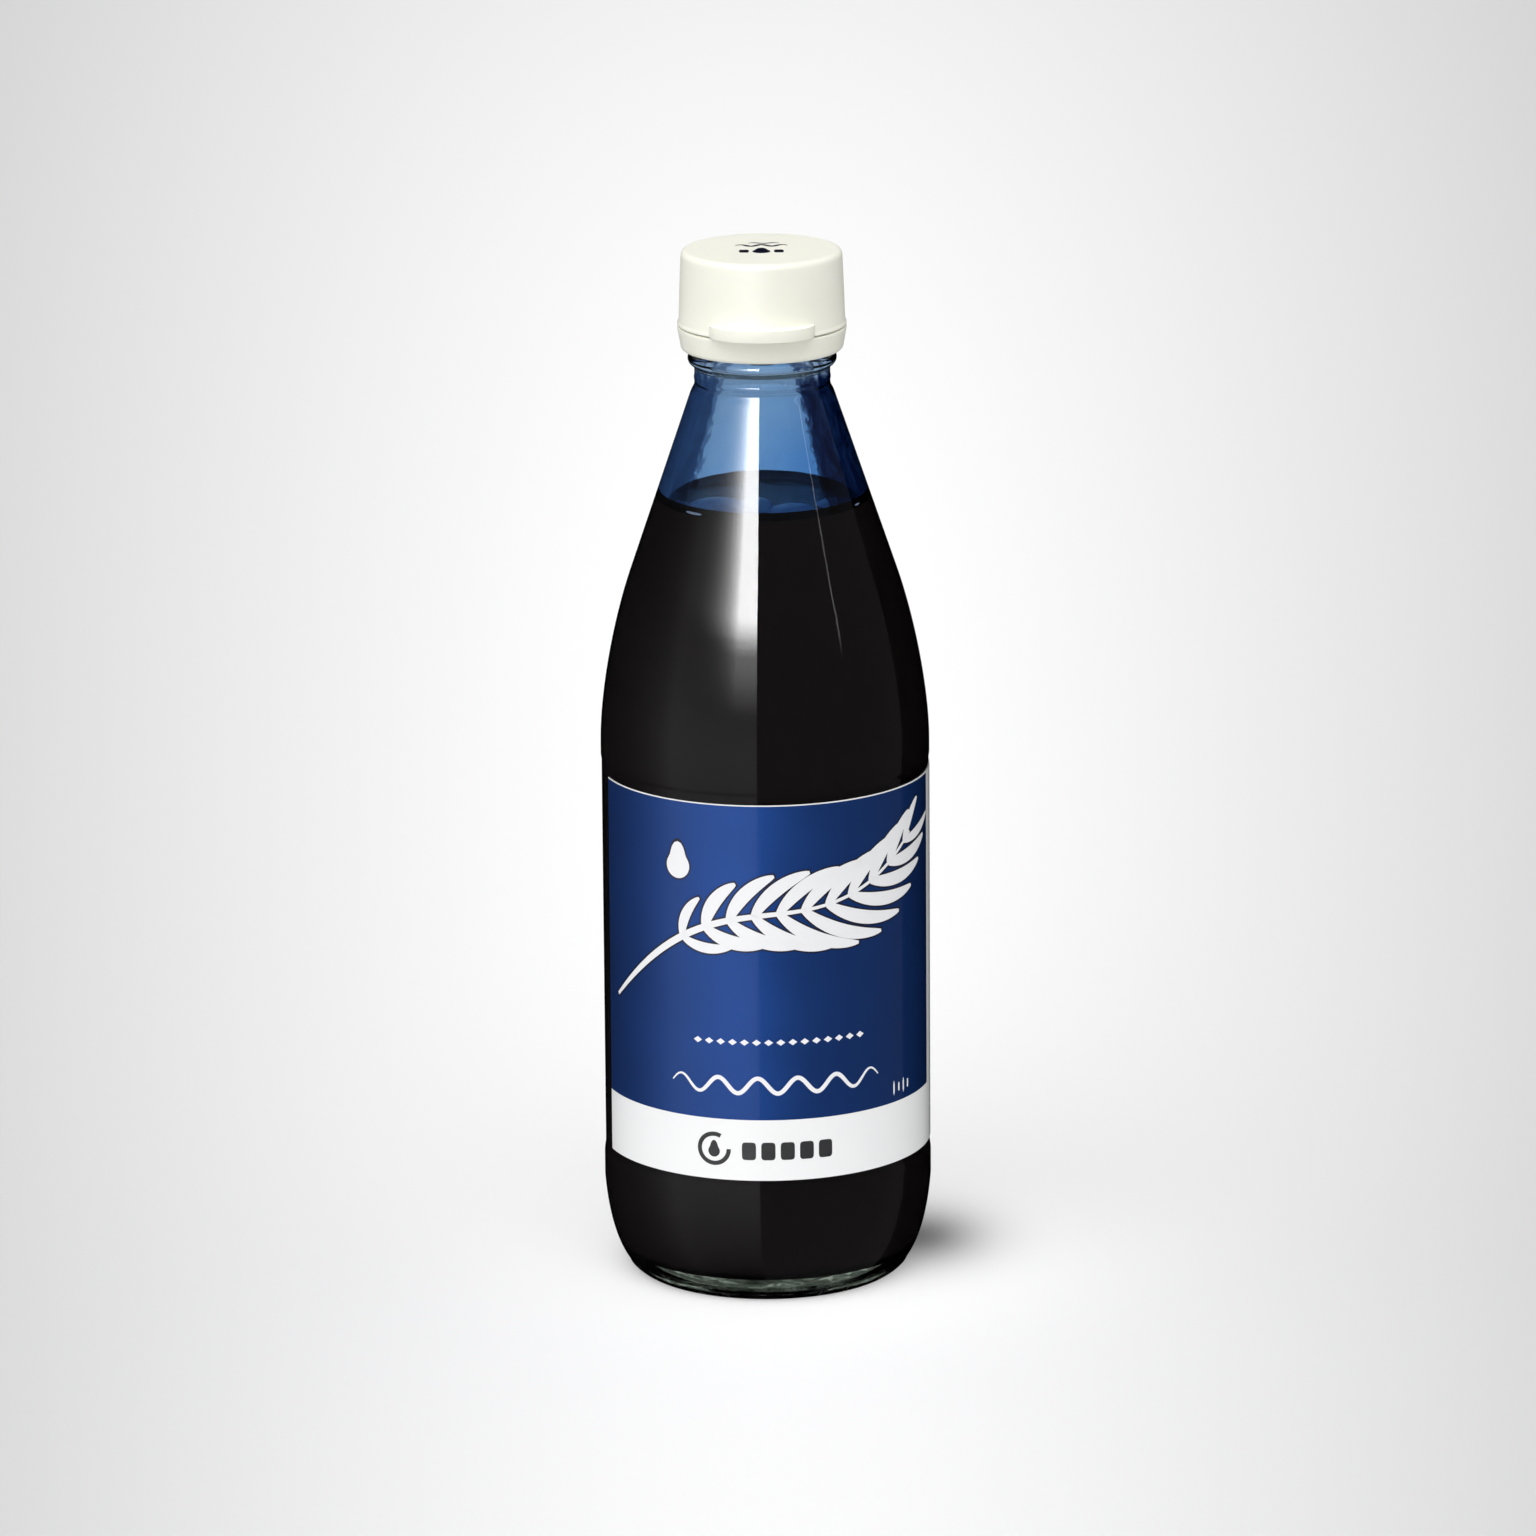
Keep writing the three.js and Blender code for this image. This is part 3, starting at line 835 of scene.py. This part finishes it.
def makeInkBody():
    outside = hollowOutline(-ink["overlap"])
    below = [p for p in outside if p[1] < ink["level"] - 0.5]
    wall = coneRadius(ink["level"] + ink["meniscusRise"]) - glass["wall"] + ink["overlap"]
    edge = (wall, ink["level"] + ink["meniscusRise"])
    surface = bezier(
        edge,
        (wall - 0.5, ink["level"] + 0.15),
        (wall - ink["meniscusRun"] * 0.6, ink["level"]),
        (wall - ink["meniscusRun"], ink["level"]),
        10,
    )
    flat = [(radius, ink["level"]) for radius in (12.0, 8.0, 4.0, 1.5)]
    return turnOutline("inkBody", below + surface + flat + [(0, ink["level"])], 128)


def makeBubble(index, across, depth, radius, rise):
    # a dome of ink film that floats on the surface, cut from a ball
    clearSelection()
    place = Vector((across, depth, ink["level"])) * mm
    bpy.ops.mesh.primitive_uv_sphere_add(segments=40, ring_count=24, radius=radius * mm, location=place)
    bubble = startPiece(f"inkBubble{index + 1}")
    editAll(bubble)
    bpy.ops.mesh.bisect(plane_co=place, plane_no=(0, 0, 1), clear_inner=True)
    bpy.ops.mesh.select_all(action="SELECT")
    bpy.ops.transform.resize(value=(1, 1, rise), center_override=place)
    bpy.ops.object.mode_set(mode="OBJECT")
    modify(bubble, "SOLIDIFY", thickness=0.12 * mm, offset=-1)
    clearSelection()
    rim = min(0.26, radius * 0.12)
    bpy.ops.mesh.primitive_torus_add(
        major_segments=48,
        minor_segments=10,
        major_radius=radius * mm,
        minor_radius=rim * mm,
        location=place + Vector((0, 0, rim * 0.6 * mm)),
    )
    joinPieces(bubble.name, [bubble, startPiece("bubbleRim")])
    closeShell()
    smooth(bubble, 80)
    return bubble


inkBody = makeInkBody()
deepLook = ({"Specular IOR Level": 0.0}, (3.0, 30.0, 0.5, 0.1, 0.0))
surfaceLook = ({"Specular IOR Level": 0.12, "IOR": 1.34}, (3.5, 9.0, 0.06, 0.03, 0.35))
bubbleLook = ({"Transmission Weight": 0.25, "IOR": 1.34}, (1.2, 3.0, 0.05, 0.02, 0.05))
deepInk = driftingMaterial("inkInGlass", *deepLook, colour(23, 18, 19), colour(29, 24, 26))
surfaceInk = driftingMaterial("inkSurface", *surfaceLook, colour(8, 12, 26), colour(30, 44, 76))
bubbleFilm = driftingMaterial("inkBubbleFilm", *bubbleLook, colour(120, 160, 225), colour(225, 238, 250))
inkBody.data.materials.append(deepInk)
inkBody.data.materials.append(surfaceInk)
surfaceRim = coneRadius(ink["level"]) - glass["wall"] - 0.1
for polygon in inkBody.data.polygons:
    centre = polygon.center / mm
    if centre.z > ink["level"] - 0.3 and math.hypot(centre.x, centre.y) < surfaceRim:
        polygon.material_index = 1
smooth(inkBody, 70)
finishPiece(inkBody, None, replaced=("ink_fill",))
inkFilm = makeInkFilm()
smooth(inkFilm, 60)
finishPiece(inkFilm, inkFilmMaterial())
for index, (across, depth, radius, rise) in enumerate(ink["bubbles"]):
    finishPiece(makeBubble(index, across, depth, radius, rise), bubbleFilm)
print("ink and bubbles ready")


label = {
    "start": -72.0,  # degrees from the front, towards the right
    "sweep": 300.0,
    "blueSweep": 149.0,
    "bandTop": 37.8,
    "edgeLine": 0.22,
    "thickness": 0.12,
    "blue": colour(36, 83, 167),
    "blueWorn": colour(44, 90, 177),
    "foil": 0.82,
    "white": colour(246, 247, 246),
    "navy": colour(9, 14, 40),
    "linePitch": 3.2,  # the plain bars of the back panel
    "lineShare": 0.3,
    "wordSweep": 2.6,
    "gapShare": 0.22,
    "columns": ((12.0, 68.0), (80.0, 138.0)),  # degrees past the end of the blue
    "columnHeights": (16.0, 64.0),
}
labelRadius = labelHigh.y - label["thickness"]
labelHeight = labelHigh.z - labelLow.z


def onPanel(arc, height, radius):
    # a place on the round panel from the length along it, to the right of the front, and the height
    angle = arc / labelRadius
    return math.sin(angle) * radius, -math.cos(angle) * radius, height


def panelAt(radius):
    def surface(arc, height):
        return onPanel(arc, height, radius)

    return surface


def makeLabel():
    start = math.radians(label["start"]) * labelRadius
    length = math.radians(label["sweep"]) * labelRadius

    def place(across, up):
        return onPanel(start + across * length, labelLow.z + up * labelHeight, labelRadius)

    band = shapedGrid("wrapLabel", 200, 6, place)
    modify(band, "SOLIDIFY", thickness=label["thickness"] * mm, offset=1)
    smooth(band, 40)
    return band


def between(calc, value, low, high):
    return calc("MULTIPLY", calc("GREATER_THAN", value, low), calc("LESS_THAN", value, high))


def labelMaterial():
    material, nodes, links, shader = newMaterial("printedFilm")
    calc = calculator(nodes, links)
    across, up, _ = axesOf(nodes, links, nodes.new("ShaderNodeUVMap").outputs["UV"])
    degrees = calc("MULTIPLY", across, label["sweep"])
    height = calc("MULTIPLY", up, labelHeight)
    blueEnd = label["blueSweep"]
    rows = between(calc, height, label["bandTop"] - labelLow.z, labelHeight - label["edgeLine"])
    inBlue = calc("MULTIPLY", calc("LESS_THAN", degrees, blueEnd), rows)
    grain = addGrain(nodes, links, shader, 0.35, 14.0, 0.42, 0.04, 0.006)
    mottle = calc("MULTIPLY", grain.outputs["Height"], 0.25)
    blue = mixColours(nodes, links, mottle, label["blue"], label["blueWorn"])
    paper = mixColours(nodes, links, grain.outputs["Drift"], label["white"], colour(240, 241, 242))
    # the back panel carries plain bars in place of its small print
    lines = calc("DIVIDE", height, label["linePitch"])
    words = calc("DIVIDE", degrees, label["wordSweep"])
    inLine = calc("LESS_THAN", calc("FRACT", lines), label["lineShare"])
    cell = nodes.new("ShaderNodeCombineXYZ")
    links.new(calc("FLOOR", words), cell.inputs[0])
    links.new(calc("FLOOR", lines), cell.inputs[1])
    word = add(nodes, "ShaderNodeTexWhiteNoise", noise_dimensions="2D")
    links.new(cell.outputs[0], word.inputs["Vector"])
    shown = calc("GREATER_THAN", word.outputs["Value"], label["gapShare"])
    columns = [between(calc, degrees, blueEnd + start, blueEnd + end) for start, end in label["columns"]]
    block = calc("MULTIPLY", calc("MAXIMUM", *columns), between(calc, height, *label["columnHeights"]))
    printed = calc("MULTIPLY", calc("MULTIPLY", inLine, shown), block)
    paper = mixColours(nodes, links, printed, paper, colour(92, 96, 108))
    links.new(mixColours(nodes, links, inBlue, paper, blue), shader.inputs["Base Color"])
    # the blue is printed over foil, so that it darkens away from the light
    links.new(calc("MULTIPLY", inBlue, label["foil"]), shader.inputs["Metallic"])
    setInputs(shader, {"Specular IOR Level": 0.3, "Coat Weight": 1.0, "Coat Roughness": 0.03})
    return material


wrapLabel = makeLabel()
finishPiece(wrapLabel, labelMaterial(), replaced=("wrap_label",))


marks = {
    "proud": 0.02,
    "outline": 0.32,
    "quillStart": (-35.0, 60.5),  # arc and height of the quill's tip
    "quillEnd": (33.0, 92.0),
    "quillBow": 5.0,
    "vaneStart": 0.27,
    "barbs": 11,
    "barbLength": 18.0,
    "barbWidth": 2.7,
}
printRadius = labelRadius + label["thickness"]


def ribbon(name, path, surface, extra=0.0, steps=150):
    # a flat stroke on a surface along path(share), which gives across, up and half width
    def place(along, across):
        arc, height, half = path(along)
        nextArc, nextHeight, _ = path(min(1.0, along + 0.002))
        lastArc, lastHeight, _ = path(max(0.0, along - 0.002))
        way = Vector((nextArc - lastArc, nextHeight - lastHeight)).normalized()
        reach = (half + extra) * (across * 2 - 1)
        end = extra * (1 if along > 0.999 else -1 if along < 0.001 else 0)
        return surface(arc - way.y * reach + way.x * end, height + way.x * reach + way.y * end)

    return shapedGrid(name, steps, 2, place)


def blot(name, arc, height, surface, outlineAt, sides=40):
    # a flat closed shape whose edge lies outlineAt(angle) from its middle
    def place(turn, inwards):
        angle = turn * 2 * math.pi
        reach = outlineAt(angle) * (1 - inwards)
        return surface(arc + math.cos(angle) * reach, height + math.sin(angle) * reach)

    piece = shapedGrid(name, sides, 3, place)
    editAll(piece)
    bpy.ops.mesh.remove_doubles(threshold=1e-6)
    bpy.ops.object.mode_set(mode="OBJECT")
    return piece


def quillPath(share):
    # the quill's shaft: a bowed hairline that swells where the vane begins
    (startArc, startHeight), (endArc, endHeight) = marks["quillStart"], marks["quillEnd"]
    bow = math.sin(share * math.pi * 2 - 0.5) * marks["quillBow"] * (1 - 0.35 * share)
    swell = 0.32 + 0.5 * math.sin(math.pi * min(1.0, share * 1.5)) * (1 - share)
    arc = startArc + (endArc - startArc) * share
    return arc, startHeight + (endHeight - startHeight) * share + bow, swell


def barbPath(index, side):
    # one broad tapered stroke of the vane, which leaves the shaft and leans back along it
    count = marks["barbs"]
    share = marks["vaneStart"] + (0.97 - marks["vaneStart"]) * index / (count - 1)
    arc, height, _ = quillPath(share)
    nextArc, nextHeight, _ = quillPath(share + 0.01)
    shaft = math.atan2(nextHeight - height, nextArc - arc)
    spread = (1.12 - 0.5 * index / (count - 1)) * side
    length = marks["barbLength"] * (0.42 + 0.58 * math.sin(math.pi * (index + 1.2) / (count + 1.6)))
    length *= 0.82 if side > 0 else 1.0
    width = marks["barbWidth"] * (0.75 if index in (0, count - 1) else 1.0)

    def path(along):
        turn = shaft + spread * (1 - 0.45 * along)
        reach = length * along
        half = width / 2 * math.sin(math.pi * (0.08 + 0.9 * along)) ** 0.55
        return arc + math.cos(turn) * reach, height + math.sin(turn) * reach, max(half, 0.08)

    return path


def wavePath(start, end, height, rise, waves, half):
    def path(share):
        swing = math.sin(share * waves * 2 * math.pi) * rise
        taper = min(1, 0.3 + 4 * share * (1 - share))
        return start + (end - start) * share, height + swing, half * taper

    return path


def lozenge(wide, tall):
    def reach(angle):
        return 1 / (abs(math.cos(angle)) / wide + abs(math.sin(angle)) / tall)

    return reach


def roundedBar(wide, tall):
    def reach(angle):
        return (abs(math.cos(angle) / wide) ** 6 + abs(math.sin(angle) / tall) ** 6) ** (-1 / 6)

    return reach


def drop(size):
    # round below, drawn out to a point above
    def reach(angle):
        return size * (1 + 0.9 * max(0.0, math.sin(angle)) ** 9)

    return reach


def ringPath(share):
    angle = share * 5.2 + 1.1
    return -10.4 + 2.9 * math.cos(angle), 31.8 + 2.9 * math.sin(angle), 0.42


def makePrint(name, shapes, shade, body="bottle"):
    piece = joinPieces(name, shapes)
    modify(piece, "SOLIDIFY", thickness=marks["proud"] * mm, offset=1)
    smooth(piece, 40)
    main, worn, roughness = shade
    coat = {"Coat Weight": 0.8, "Coat Roughness": 0.04}
    material = driftingMaterial(name, coat, (0.3, 6.0, roughness, 0.05, 0.01), main, worn)
    finishPiece(piece, material, body)


whiteInk = (colour(246, 246, 247), colour(238, 239, 242), 0.4)
navyInk = (label["navy"], colour(14, 22, 56), 0.4)
greyInk = (colour(38, 38, 40), colour(50, 50, 52), 0.45)
underprint, overprint = panelAt(printRadius), panelAt(printRadius + 0.012)
barbPaths = [barbPath(i, side) for side in (-1, 1) for i in range(marks["barbs"])]
dotAt = (-17.5, 87.0)
outline = marks["outline"]
makePrint("printNavy", [
    ribbon("quillEdge", quillPath, underprint, outline),
    blot("dropEdge", *dotAt, underprint, drop(2.5 + outline)),
    *(ribbon("barbEdge", path, underprint, outline, steps=24) for path in barbPaths),
], navyInk)
whiteShapes = [
    ribbon("quill", quillPath, overprint),
    blot("drop", *dotAt, overprint, drop(2.5)),
    *(ribbon("barb", path, overprint, steps=24) for path in barbPaths),
    ribbon("wave", wavePath(-19, 23, 44.6, 1.5, 5.5, 0.42), overprint),
]
for i in range(15):
    whiteShapes.append(blot("lozenge", -13.5 + i * 2.3, 53.2, overprint, lozenge(0.85, 0.62), 16))
for i in range(4):
    height = 1.5 if i % 2 == 0 else 0.9
    whiteShapes.append(blot("tick", 27.5 + i * 1.5, 40.6, overprint, roundedBar(0.2, height), 24))
makePrint("printWhite", whiteShapes, whiteInk)
greyShapes = [
    ribbon("ring", ringPath, underprint, steps=60),
    blot("ringDrop", -10.4, 31.3, underprint, drop(1.15)),
]
for i in range(5):
    greyShapes.append(blot("bar", -3.6 + i * 3.7, 31.6, underprint, roundedBar(1.35, 1.75), 32))
makePrint("printGrey", greyShapes, greyInk)
print("label ready")


cap = {
    "facets": 160,
    "edge": 0.22,
    "tabReach": 2.3,
    "tabHalfAngle": 39.0,
    "tabBottom": 186.04,
    "tabHeight": 2.35,
    "tabEdge": 0.55,
    "padWidth": 19.0,
    "padHeight": 2.6,
}
seam = 185.8
collarRadius = collarHigh.x
lipTop = collarHigh.z
skirt = 13.8
spoutBore = 8.3
spoutWall = 1.3
plugRadius = 9.3


def makeCollar():
    hookTop = 184.4
    spoutOuter = spoutBore + spoutWall
    lipOutside = bezier(
        (spoutOuter, lipTop - 1.4),
        (spoutOuter, lipTop - 0.8),
        (spoutBore + 2.3, lipTop - 0.6),
        (spoutBore + 2.4, lipTop - 0.2),
        6,
    )
    lipInside = bezier(
        (spoutBore + 1.1, lipTop - 0.1),
        (spoutBore + 0.5, lipTop - 0.3),
        (spoutBore, lipTop - 0.8),
        (spoutBore, lipTop - 1.6),
        6,
    )
    outline = [
        (skirt, collarLow.z),
        *bezier(
            (collarRadius - 1.35, collarLow.z),
            (collarRadius - 0.75, collarLow.z),
            (collarRadius - 0.55, collarLow.z + 0.5),
            (collarRadius - 0.5, collarLow.z + 1.2),
            8,
        ),
        (collarRadius, seam - 0.5),
        (collarRadius, seam),
        (skirt + 0.6, seam),
        (skirt + 0.6, mouthTop + 1.2),
        (skirt + 0.3, mouthTop + 1.5),
        (spoutOuter, mouthTop + 1.5),
        *lipOutside,
        (spoutBore + 2.2, lipTop),
        (spoutBore + 1.2, lipTop),
        *lipInside,
        (spoutBore, mouthTop - 5.5),
        (plugRadius - 0.4, mouthTop - 5.5),
        (plugRadius, mouthTop - 4.9),
        (plugRadius, mouthTop + 0.3),
        (skirt, mouthTop + 0.3),
        (skirt, hookTop),
        (skirt - 0.6, hookTop - 0.5),
        (skirt - 0.6, hookTop - 1.0),
        (skirt, hookTop - 1.5),
        (skirt, collarLow.z),
    ]
    ring = turnOutline("closureCollar", outline, cap["facets"])
    pad = makeHingePad("collarPad", (skirt + collarRadius) / 2, seam - cap["padHeight"], seam)
    return softenEdges(joinPieces("closureCollar", [ring, pad]))


def makeHingePad(name, rootRadius, bottom, top):
    # the flat on the back of the cap: a block whose front follows the round wall
    def place(across, back):
        side = (across - 0.5) * cap["padWidth"]
        return side, collarRadius if back > 0.5 else math.sqrt(rootRadius**2 - side**2), bottom

    pad = shapedGrid(name, 16, 1, place)
    raiseFlat(pad, top - bottom)
    return pad


def raiseFlat(piece, rise):
    # gives a flat shape its height
    editAll(piece)
    drawRing(rise)
    closeShell()


def bevel(piece, width, segments, angle):
    modify(
        piece,
        "BEVEL",
        width=width * mm,
        segments=segments,
        limit_method="ANGLE",
        angle_limit=math.radians(angle),
        use_clamp_overlap=True,
    )


def softenEdges(piece):
    bevel(piece, cap["edge"], 2, 40)
    smooth(piece, 45)
    return piece


def makeLid():
    rim, top = lidLow.z, lidHigh.z
    ceiling = top - 1.3
    bore = 14.66
    ringOuter = 7.93
    ringBottom = lipTop - 1.0
    upper = collarRadius - 0.72
    outline = [
        (0, ceiling),
        (ringOuter - 0.9, ceiling),
        (ringOuter - 0.9, ringBottom),
        (ringOuter, ringBottom),
        (ringOuter, ceiling),
        (bore - 0.6, ceiling),
        (bore - 0.2, ceiling - 0.8),
        (bore, rim),
        (collarRadius, rim),
        (collarRadius, rim + 0.45),
        (collarRadius - 0.26, rim + 0.7),
        (collarRadius - 0.45, rim + 6.0),
        *bezier((upper, top - 1.3), (upper - 0.03, top - 0.45), (upper - 0.4, top), (upper - 1.3, top), 12),
        (upper - 5.0, top),
        (0, top),
    ]
    shell = turnOutline("flipLid", outline, cap["facets"])
    tab = makeThumbTab()
    pad = makeHingePad("lidPad", (bore + collarRadius) / 2, rim, rim + cap["padHeight"])
    return softenEdges(joinPieces("flipLid", [shell, tab, pad]))


def makeThumbTab():
    # a curved bar under the front of the lid, with its ends drawn in
    root, reach = collarRadius - 0.7, collarRadius + cap["tabReach"]

    def place(across, back):
        share = across * 2 - 1
        outer = root + (reach - root) * (0.1 + 0.9 * (1.0 - abs(share) ** 3) ** 0.7)
        angle = math.radians(cap["tabHalfAngle"]) * share
        radius = root + (outer - root) * (1 - back)
        return math.sin(angle) * radius, -math.cos(angle) * radius, cap["tabBottom"]

    tab = shapedGrid("thumbTab", 60, 3, place)
    raiseFlat(tab, cap["tabHeight"])
    bevel(tab, cap["tabEdge"], 4, 50)
    return tab


def makeSeal():
    # a thin disc with a tear groove, a post and a pull ring
    low, top, radius = sealLow.z, sealLow.z + 1.0, sealHigh.x
    groove = [(radius - 0.9, top), (radius - 1.2, low + 0.55), (radius - 1.5, top)]
    outline = [(0, low), (radius, low), (radius, top), *groove, (0, top)]
    membrane = turnOutline("tearOffSeal", outline, 96)
    ringHeight, pull, thick = sealHigh.z - 0.8, 5.6, 0.8
    clearSelection()
    bpy.ops.mesh.primitive_cylinder_add(
        vertices=24,
        radius=1.0 * mm,
        depth=(ringHeight - low - 0.5) * mm,
        location=Vector((0, pull, (ringHeight + low + 0.5) / 2)) * mm,
    )
    post = startPiece("sealPost")
    clearSelection()
    bpy.ops.mesh.primitive_torus_add(
        major_segments=72,
        minor_segments=16,
        major_radius=pull * mm,
        minor_radius=thick * mm,
        location=(0, 0, ringHeight * mm),
    )
    return softenEdges(joinPieces("tearOffSeal", [membrane, post, startPiece("sealRing")]))


def makeStrap(name, node):
    # a thin web with a waist at the bending line, joined to the pads above and below
    low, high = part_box(node)
    middle, size = (low + high) / 2, high - low
    clearSelection()
    bpy.ops.mesh.primitive_cube_add(size=1, location=middle)
    strap = startPiece(name)
    editAll(strap)
    bpy.ops.transform.resize(value=(size.x, size.y + 0.35 * mm, size.z), center_override=middle)
    bpy.ops.mesh.subdivide(number_cuts=15)
    bpy.ops.object.mode_set(mode="OBJECT")
    for vertex in strap.data.vertices:
        away = abs(vertex.co.z - middle.z) / (size.z / 2)
        if vertex.co.y > middle.y:
            vertex.co.y -= 0.25 * mm * max(0.0, 1 - (away * 2.2) ** 2)
    smooth(strap, 50)
    return strap


def lidTop(across, back):
    return across, back, lidHigh.z - 0.005


plasticLook = {
    "Subsurface Weight": 0.12,
    "Subsurface Radius": (1.0, 0.9, 0.6),
    "Subsurface Scale": 1.2 * mm,
    "IOR": 1.49,
}
plasticGrain = (0.5, 8.0, 0.38, 0.05, 0.012)
plasticShades = colour(246, 246, 234), colour(240, 239, 226)
ivoryPlastic = driftingMaterial("ivoryPlastic", plasticLook, plasticGrain, *plasticShades)
finishPiece(makeCollar(), ivoryPlastic, replaced=("closure_collar",))
finishPiece(makeSeal(), ivoryPlastic, replaced=("tear_off_seal",))
finishPiece(makeLid(), ivoryPlastic, body="lid", replaced=("flip_lid",))
capMark = [blot("capDrop", 0, -2.4, lidTop, drop(1.7))]
capMark += [blot("capBar", side * 3.3, -2.2, lidTop, roundedBar(0.9, 1.3), 32) for side in (-1, 1)]
capMark.append(ribbon("capWave", wavePath(-4.9, 4.9, 3.0, 0.7, 2.5, 0.45), lidTop, steps=60))
capMark.append(ribbon("capLine", wavePath(-2.6, 3.4, 5.2, 0.3, 1.5, 0.3), lidTop, steps=40))
makePrint("capPrint", capMark, navyInk, "lid")
for side in ("left", "middle", "right"):
    node = "hinge_strap_" + side
    strap = makeStrap("hingeStrap" + side.capitalize(), node)
    finishPiece(strap, ivoryPlastic, body=None, replaced=(node,))
    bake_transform(strap)
print("cap ready")
